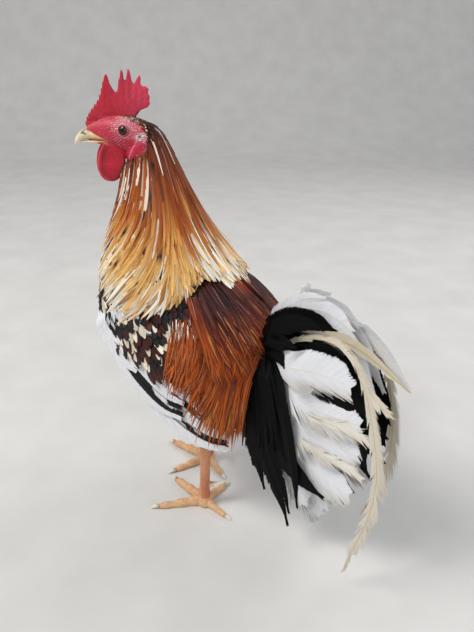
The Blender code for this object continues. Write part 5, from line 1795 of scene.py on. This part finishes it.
roots, *vanes = small_coverts(on_shoulder, 0.0060, 0.35)
count, along = len(roots), wing_places(roots)[0]
tints = plain_tints("#3a120e", count)
tints[patches(roots, 0.011, 0.12)] = linear("#101012")
spangled = (draw.random(count) < 0.20) | patches(roots + 2.0, 0.0095, 0.34)
tints[spangled] = linear("#ddd2bb")
tints[spangled, :2] = linear("#6a3a22")
tints[(draw.random(count) < 0.08) & (along > 0.05)] = linear("#5e2410")
coverts = [coat(roots, *vanes, tints, 0.12)]
roots, lines, facing, widths = small_coverts(on_wrist, 0.0056, 0.10)
tints = plain_tints("#dcdadb", len(roots))
tints[patches(roots, 0.012, 0.10)] = linear("#131115")
coverts.append(coat(roots, lines, facing, widths * 0.9, tints, 0.10))
plumage("wing_shoulders", coverts, silky)

# %% [markdown]
# From the back the saddle hackles fall over both flanks: long narrow lancets, maroon with pale
# shafts near the spine, rust and gold where they end over the wing. The fall is a sheet through
# seven measured lines, from the cape back to the tail, and every lancet runs down that sheet from
# a root that lies a little deeper than its tip, in several layers.

# %% The saddle
# From the spine to the lowest tips: x, out and z in millimetres, line by line from the front.
SADDLE_LINES = [
    ((-38, 22, 342), (-8, 48, 312), (10, 70, 275), (14, 83, 240), (12, 89, 206)),
    ((-14, 15, 340), (20, 38, 314), (42, 63, 284), (52, 80, 246), (37, 89, 186)),
    ((10, 10, 338), (44, 30, 316), (72, 50, 288), (84, 73, 232), (57, 87, 154)),
    ((28, 8, 337), (62, 24, 313), (86, 42, 281), (90, 68, 216), (80, 80, 139)),
    ((40, 6, 336), (76, 14, 306), (96, 32, 272), (98, 60, 216), (93, 73, 148)),
    ((50, 3, 333), (90, 7, 298), (107, 26, 268), (103, 54, 216), (104, 67, 150)),
    ((60, 0, 329), (104, 2, 298), (118, 18, 272), (111, 46, 226), (112, 60, 166)),
]

# Over the rump a second sheet runs back along the spine to the root of the tail.
RUMP_LINES = [
    ((18, 54, 322), (44, 66, 294), (64, 72, 262), (78, 77, 230)),
    ((27, 50, 322), (54, 61, 293), (77, 66, 263), (95, 69, 230)),
    ((30, 38, 330), (59, 47, 305), (86, 50, 279), (111, 50, 246)),
    ((32, 26, 338), (63, 29, 312), (92, 31, 287), (118, 32, 262)),
    ((38, 14, 340), (68, 13, 318), (98, 14, 296), (123, 15, 276)),
    ((42, 1, 340), (74, 1, 320), (104, 1, 299), (124, 1, 280)),
]


def sheet_through(lines, side, across, down):
    """A fine grid of places through the lines, and the way it faces."""
    table = array(lines, float) / 1000 * [1, side, 1]
    table = along_rows(table.reshape(len(lines), -1), linspace(0, 1, across)).reshape(across, -1, 3)
    table = along_rows(table.transpose(1, 0, 2).reshape(table.shape[1], -1), linspace(0, 1, down))
    table = table.reshape(down, across, 3)
    faces = cross(np.gradient(table, axis=0), np.gradient(table, axis=1))
    faces = unit(faces * np.sign((faces * [0, side, 0.6]).sum(-1, keepdims=True)))
    return table, faces


def on_sheet(grid, down, across):
    """The grid read between its points; beyond its lower edge it carries straight on."""
    rows, columns = grid.shape[:2]
    beyond = maximum(down - 1, 0)[..., None] * (rows - 1)
    i, j = held(down) * (rows - 1), held(across) * (columns - 1)
    i0, j0 = minimum(i.astype(int), rows - 2), minimum(j.astype(int), columns - 2)
    a, b = (i - i0)[..., None], (j - j0)[..., None]
    upper = grid[i0, j0] * (1 - b) + grid[i0, j0 + 1] * b
    lower = grid[i0 + 1, j0] * (1 - b) + grid[i0 + 1, j0 + 1] * b
    return upper * (1 - a) + lower * a + beyond * (lower - upper)


def kept_clear(lines, gap):
    """Points that come closer to the skin than their gap move out to it."""
    for i in range(lines.shape[0]):
        for k in range(1, lines.shape[1]):
            spot, normal, _, _ = skin_tree.find_nearest(Vector(lines[i, k]))
            away = (Vector(lines[i, k]) - spot).dot(normal)
            if away < gap:
                lines[i, k] = spot + normal * gap
    return lines


SADDLE_BACK = [(0.0, "#3a1611"), (0.25, "#421512"), (0.45, "#5a1e12"), (0.65, "#8c3a10"), (0.85, "#a64e14"),
               (1.0, "#9a4a18")]
SADDLE_SHAPE = (0.30, 0.80, 1.0, 0.95, 0.80, 0.55, 0.30, 0.06)


def saddle(side, layers, sheet, wide_across, reach, redness):
    grid, faces = sheet_through(sheet, side, 61, 81)
    groups = []
    for spacing, wide, height, first in layers:
        down, across = [], []
        for number, start in enumerate(np.arange(first, 0.80, 0.040)):
            count = int(wide_across / spacing)
            shift = 0.5 * (number % 2)
            across.append((np.arange(count) + shift + draw.normal(0, 0.22, count)) / count)
            down.append(start + draw.uniform(-0.5, 0.5, count) * 0.040)
        down, across = held(concatenate(down)), clip(concatenate(across), 0.001, 0.999)
        count = len(down)
        steps = linspace(0, 1, 9)[None]
        length = reach * interp(down, [0, 0.3, 0.8], [0.34, 0.38, 0.24]) * draw.uniform(0.75, 1.2, count)
        end = minimum(down + length, 1.0 + draw.uniform(-0.12, 0.06, count))
        v = down[:, None] + (end - down)[:, None] * steps
        drift = draw.normal(0, 0.030, (count, 1)) * steps + draw.normal(0, 0.022, (count, 1)) * steps**3
        s = held(across[:, None] + drift)
        lift = height + draw.normal(0, 0.0008, (count, 1)) + interp(
            steps, [0, 0.3, 1], [-0.0045, -0.0005, 0.0012]
        )
        lines = on_sheet(grid, v, s) + on_sheet(faces, v, s) * lift[..., None]
        lines = kept_clear(lines, 0.0012)
        facing = unit(on_sheet(faces, minimum(v, 1), s))
        thin = draw.random((count, 1)) < 0.35
        widths = shape_along(SADDLE_SHAPE, steps) * wide * draw.uniform(0.6, 1.3, (count, 1))
        widths = widths * where(thin, 0.5, 1.0)
        at = redness * v + 0.15 * steps + draw.normal(0, 0.07, (count, 1))
        at = at - 0.1 * (s > 0.3) * (v < 0.5) + 0.1 * (s < 0.2)
        at = at + (reach > 1.1) * 0.35 * held((0.4 - s) / 0.4)
        tints = tint_stops(held(at), SADDLE_BACK)
        ridge = held((s - 0.72) / 0.15) * held((0.45 - v) / 0.15)
        tints = tints * (1 - ridge[..., None]) + linear("#7a2e14") * ridge[..., None]
        pale_line = thin[..., None] & (draw.random((count, 1, 1)) < 0.55)
        tints = where(pale_line, tints * 0.5 + linear("#c09080") * 0.5, tints)
        widths = widths * where(pale_line[..., 0], 0.55, 1.0)
        gold = (draw.random((count, 1, 1)) < 0.09) & (v[..., None] > 0.5)
        tints = where(gold, linear("#b07038"), tints)
        dark = draw.random((count, 1, 1)) < interp(s[:, :1, None], [0.1, 0.45], [0.12, 0.30])
        tints = where(dark, tints * 0.38, tints)
        white = (
            draw.random((count, 1)) < interp(s[:, :1], [0, 0.14, 0.26], [0.45, 0.30, 0.0])
        ) & (v < 0.58) & (reach < 1.1)
        tints = where(white[..., None], linear("#e2dccd"), tints)
        spots = stack([0.02 + 0.46 * across + 0.48 * (side > 0), 0.02 + 0.96 * down], axis=-1)
        groups.append(vane_group(lines, facing, widths, varied(tints, 0.16), spots, thick=0.0003))
    return groups


SADDLE_UNDER = [(0.0050, 0.0090, -0.0030, 0.0)]
SADDLE_OVER = [(0.0032, 0.0050, 0.0000, 0.0), (0.0029, 0.0034, 0.0022, 0.02)]
RUMP_OVER = [(0.0036, 0.0044, 0.0012, 0.0), (0.0032, 0.0030, 0.0030, 0.02)]
flanks = {side: (SADDLE_LINES, 0.125, 1.0, 0.85) for side in SIDES}
plumage("saddle_under", [
    group for side in SIDES for group in saddle(side, SADDLE_UNDER, *flanks[side])
], silky)
for side, label in SIDES.items():
    plumage(f"saddle_hackles_{label}", [
        *saddle(side, SADDLE_OVER, *flanks[side]), *saddle(side, RUMP_OVER, RUMP_LINES, 0.085, 1.7, 0.50)
    ], silky)

# %% [markdown]
# The tail is a folded fan of broad white quills with black ones between them, black side feathers
# that fall over its root, and long curved sickles, white and straw. Every feather follows a line
# measured for it, as x and z in millimetres, and its wear says how far its barbs have parted,
# because the photographed bird's tail is worn. The lower vane wears most: it hangs out in tatters.

# %% The tail
BOTH = (LEFT, RIGHT)
# Sides, how far out, width, colour, wear, then the line from root to tip.
TAIL_QUILLS = [
    (BOTH, 33, 46, "white", 0.60, ((118, 252), (150, 257), (190, 266), (222, 270), (243, 267))),
    (BOTH, 29, 46, "white", 0.60, ((120, 238), (158, 226), (198, 220), (232, 222), (256, 226))),
    (BOTH, 31, 17, "fringe", 1.0, ((150, 218), (178, 209), (206, 210), (236, 215), (258, 214), (273, 206))),
    (BOTH, 25, 48, "white", 0.55, ((122, 216), (158, 190), (192, 180), (226, 182), (255, 184))),
    (BOTH, 28, 16, "fringe", 1.0, ((140, 194), (172, 172), (204, 166), (237, 165), (264, 160))),
    (BOTH, 22, 46, "white", 0.55, ((124, 196), (158, 148), (192, 133), (222, 127), (247, 125))),
    (BOTH, 20, 42, "white", 0.45, ((120, 205), (140, 168), (158, 128), (172, 96), (182, 70))),
    (BOTH, 10, 42, "white", 0.55, ((122, 215), (150, 160), (176, 118), (196, 92), (208, 72))),
    (
        BOTH, 24, 32, "black", 0.20,
        ((130, 268), (160, 284), (190, 286), (222, 274), (245, 245), (257, 209), (264, 174))
    ),
    (BOTH, 26, 34, "black", 0.20, ((140, 250), (175, 250), (212, 250), (238, 243), (254, 226), (264, 203))),
    (BOTH, 19, 30, "black", 0.20, ((132, 232), (187, 212), (220, 207), (247, 203), (268, 189))),
    (BOTH, 17, 28, "black", 0.25, ((132, 214), (170, 176), (205, 164), (233, 167), (253, 169), (269, 157))),
    (BOTH, 12, 30, "black", 0.30, ((130, 210), (160, 158), (190, 128), (216, 112), (236, 100))),
    (BOTH, 8, 25, "white", 0.30, ((116, 276), (124, 300), (148, 319), (180, 327), (204, 326), (225, 316))),
    (BOTH, 5, 14, "white", 0.40, ((118, 278), (130, 306), (144, 327), (153, 336), (157, 346))),
    (BOTH, 7, 14, "white", 0.40, ((124, 290), (140, 316), (158, 332), (172, 338), (188, 342))),
    (BOTH, 15, 30, "black", 0.15, ((106, 268), (118, 286), (140, 302), (164, 311), (186, 315), (209, 313))),
    (
        BOTH, 10, 17, "white", 0.35,
        ((124, 278), (158, 300), (190, 312), (214, 311), (232, 297), (247, 273), (262, 250))
    ),
    (
        LEFT, 19, 17, "straw", 0.45,
        ((126, 268), (160, 288), (191, 300), (222, 308), (250, 303), (274, 293), (303, 280))
    ),
    (
        RIGHT, 16, 18, "white", 0.35,
        ((126, 270), (158, 292), (190, 304), (222, 308), (248, 296), (270, 276), (284, 262))
    ),
    (
        LEFT, 34, 17, "cream", 1.0,
        (
            (140, 276), (170, 294), (204, 308), (232, 306), (251, 291), (265, 260), (276, 222), (283, 184),
            (283, 148), (275, 104), (263, 62), (253, 22),
        ),
    ),
    (
        RIGHT, 32, 17, "cream", 1.0,
        (
            (138, 274), (172, 296), (206, 304), (234, 294), (253, 262), (265, 214), (268, 160), (258, 104),
            (238, 52)
        ),
    ),
    (LEFT, 33, 11, "cream", 0.90, ((222, 306), (244, 298), (260, 276), (274, 264), (293, 254))),
    (BOTH, 34, 26, "black", 0.45, ((104, 272), (98, 236), (96, 190), (101, 142), (110, 98))),
    (BOTH, 36, 26, "black", 0.45, ((106, 274), (102, 232), (104, 180), (114, 128), (131, 74))),
    (BOTH, 38, 24, "black", 0.40, ((109, 272), (108, 215), (116, 156), (140, 106), (161, 72), (173, 42))),
    (BOTH, 36, 24, "black", 0.40, ((113, 262), (116, 212), (128, 160), (148, 116), (164, 84), (172, 60))),
    (BOTH, 33, 34, "black", 0.20, ((116, 260), (122, 212), (140, 164), (162, 134), (191, 118), (219, 111))),
    (BOTH, 37, 17, "black", 0.15, ((120, 268), (144, 238), (159, 196), (170, 155), (178, 122), (185, 77))),
    (BOTH, 30, 24, "black", 0.35, ((112, 262), (118, 234), (124, 206), (128, 180))),
    (BOTH, 37, 24, "black", 0.20, ((104, 276), (113, 256), (118, 226), (122, 190), (130, 160), (146, 138))),
    (LEFT, 33, 23, "black", 0.35, ((112, 266), (124, 284), (138, 298), (158, 311), (182, 320), (204, 320))),
    (BOTH, 34, 22, "black", 0.50, ((110, 262), (120, 272), (134, 281), (152, 287), (170, 288))),
    (BOTH, 32, 20, "black", 0.60, ((110, 264), (122, 266), (136, 267), (148, 264), (156, 256))),
    (BOTH, 12, 30, "down", 1.00, ((146, 128), (162, 98), (180, 78), (204, 62))),
]
TAIL_TINTS = {
    "white": ("#e9eaee", "#dcd6cc"), "black": ("#050707", "#050707"), "straw": ("#cdc2ab", "#ddd4c2"),
    "cream": ("#ddd3c2", "#e6dfd2"), "fringe": ("#e9e4da", "#e6dcc8"), "down": ("#d9d9dc", "#8d8c90"),
}
SHAFT_TINTS = {
    "white": "#ebdfc2", "black": "#181614", "straw": "#b59a66", "cream": "#d3c294", "down": "#d8d4cc",
    "fringe": "#e4d8ba"
}
QUILL_SHAPE = {
    "white": (0.34, 0.74, 0.94, 1.0, 1.0, 0.94, 0.78, 0.30),
    "black": (0.34, 0.74, 0.94, 1.0, 0.96, 0.82, 0.55, 0.14),
    "straw": (0.30, 0.85, 1.0, 1.0, 0.9, 0.72, 0.5, 0.12),
    "cream": (0.30, 0.42, 0.50, 0.70, 0.95, 1.0, 0.85, 0.25),
    "fringe": (0.2, 0.5, 0.8, 1.0, 1.0, 0.9, 0.8, 0.3),
    "down": (0.4, 0.8, 1.0, 1.0, 1.0, 1.0, 0.9, 0.5),
}


def tail_quill(side, number, row):
    _, out, width, colour, wear, places = row
    places = smooth_rows(array(places) / 1000, 26)
    x, z = places.T
    x = x + (draw.normal(0, 0.0012) if side == RIGHT else 0.0)
    share = linspace(0, 1, 26)
    spread = out / 1000 * interp(share, [0, 0.3, 1], [0.55, 1.0, 1.0])
    path = tail_place(side, x, z, spread)
    facing = tile(array([0, side, 0.12]), (26, 1))
    long = np.linalg.norm(np.diff(path, axis=0), axis=1).sum()
    barbs = int(clip(long / (0.0012 + 0.0001 * wear), 40, 230))
    main, edge = TAIL_TINTS[colour]
    tint = plain(
        main, "#8f8a80" if colour in ("cream", "straw") else None, 0.72, 0.02, number * 1.7, edge, -side
    )
    # Which side of the shaft is the lower one depends on the side of the bird.
    worn = (0.15 * wear, wear) if side < 0 else (wear, 0.15 * wear)
    if colour in ("fringe", "cream", "down"):
        worn = (wear, wear)
    return quill(
        path, facing, width / 1000, number, len(TAIL_QUILLS) * 2, barbs, tint, shape=QUILL_SHAPE[colour],
        shaft_tint=SHAFT_TINTS[colour], wear=worn,
    )


def hanging_lancets(side, count):
    """Soft black side feathers that fall from the root over the fan."""
    t = (np.arange(count) + draw.uniform(-0.4, 0.4, count)) / count
    tip_x = interp(t, (0, 1), (0.098, 0.158)) + draw.normal(0, 0.004, count)
    tip_z = interp(t, (0, 1), (0.130, 0.150)) + draw.uniform(-0.020, 0.050, count)
    out = 0.032 + 0.008 * draw.random(count)
    root_x, root_z = 0.094 + 0.032 * t, 0.272
    lines = np.empty((count, 10, 3))
    for i in range(count):
        middle_x = root_x[i] * 0.6 + tip_x[i] * 0.4
        rows = [
            tail_place(side, root_x[i], root_z, 0.010),
            tail_place(side, middle_x - 0.004, root_z - 0.030, out[i] * 0.90),
            tail_place(side, middle_x + 0.004, (root_z + tip_z[i]) / 2, out[i]),
            tail_place(side, tip_x[i], tip_z[i], out[i]),
        ]
        lines[i] = smooth_rows(rows, 10)
    steps = linspace(0, 1, 10)[None]
    facing = tile(array([0.1, side, 0.05]), (count, 10, 1))
    widths = shape_along(
        (0.4, 0.8, 1.0, 1.0, 0.85, 0.6, 0.10), steps
    ) * draw.uniform(0.005, 0.011, (count, 1))
    tints = tile(linear("#050707"), (count, 10, 1))
    rust = (draw.random((count, 1, 1)) < 0.10) & (t[:, None, None] < 0.3)
    tints = where(rust, linear("#4a2410"), tints)
    spots = stack([0.02 + 0.96 * t, np.full(count, 0.35 + 0.15 * side)], axis=-1)
    return vane_group(lines, facing, widths, varied(tints, 0.15), spots)


tail_groups = {"white": [], "black": [], "pale": []}
for number, row in enumerate(TAIL_QUILLS):
    kind = {"white": "white", "black": "black"}.get(row[3], "pale")
    for side in np.atleast_1d(row[0]):
        tail_groups[kind] += tail_quill(int(side), number * 2 + int(side > 0), row)
plumage("tail_fan_white", tail_groups["white"], vane_barb)
black_gloss = feather_finish(
    "black quill feather, structural green gloss", 0.42, 0.0, 0.9, 1.0, coat=0.03, specular=0.08
)
plumage("tail_fan_black", tail_groups["black"], black_gloss)
plumage("tail_sickles_pale", tail_groups["pale"], vane_barb)
plumage(
    "tail_side_feathers", [hanging_lancets(LEFT, 60), hanging_lancets(RIGHT, 60)], black_gloss
)


# %% [markdown]
# The skin stands for every node of flesh and feather, since the coat lies on it.

# %% What stands for what
made_pieces.append(skin)
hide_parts("torso", "neck", "head", "comb", "tail")
for label in SIDES.values():
    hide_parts(f"wattle_{label}", f"earlobe_{label}", f"wing_{label}", f"thigh_{label}")

# %% [markdown]
# Last, everything that was made in design sizes moves to the frame.

# %% Into the frame
for thing in made_pieces:
    set_points(thing, points_of(thing) + SHIFT)
    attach(thing, "root")
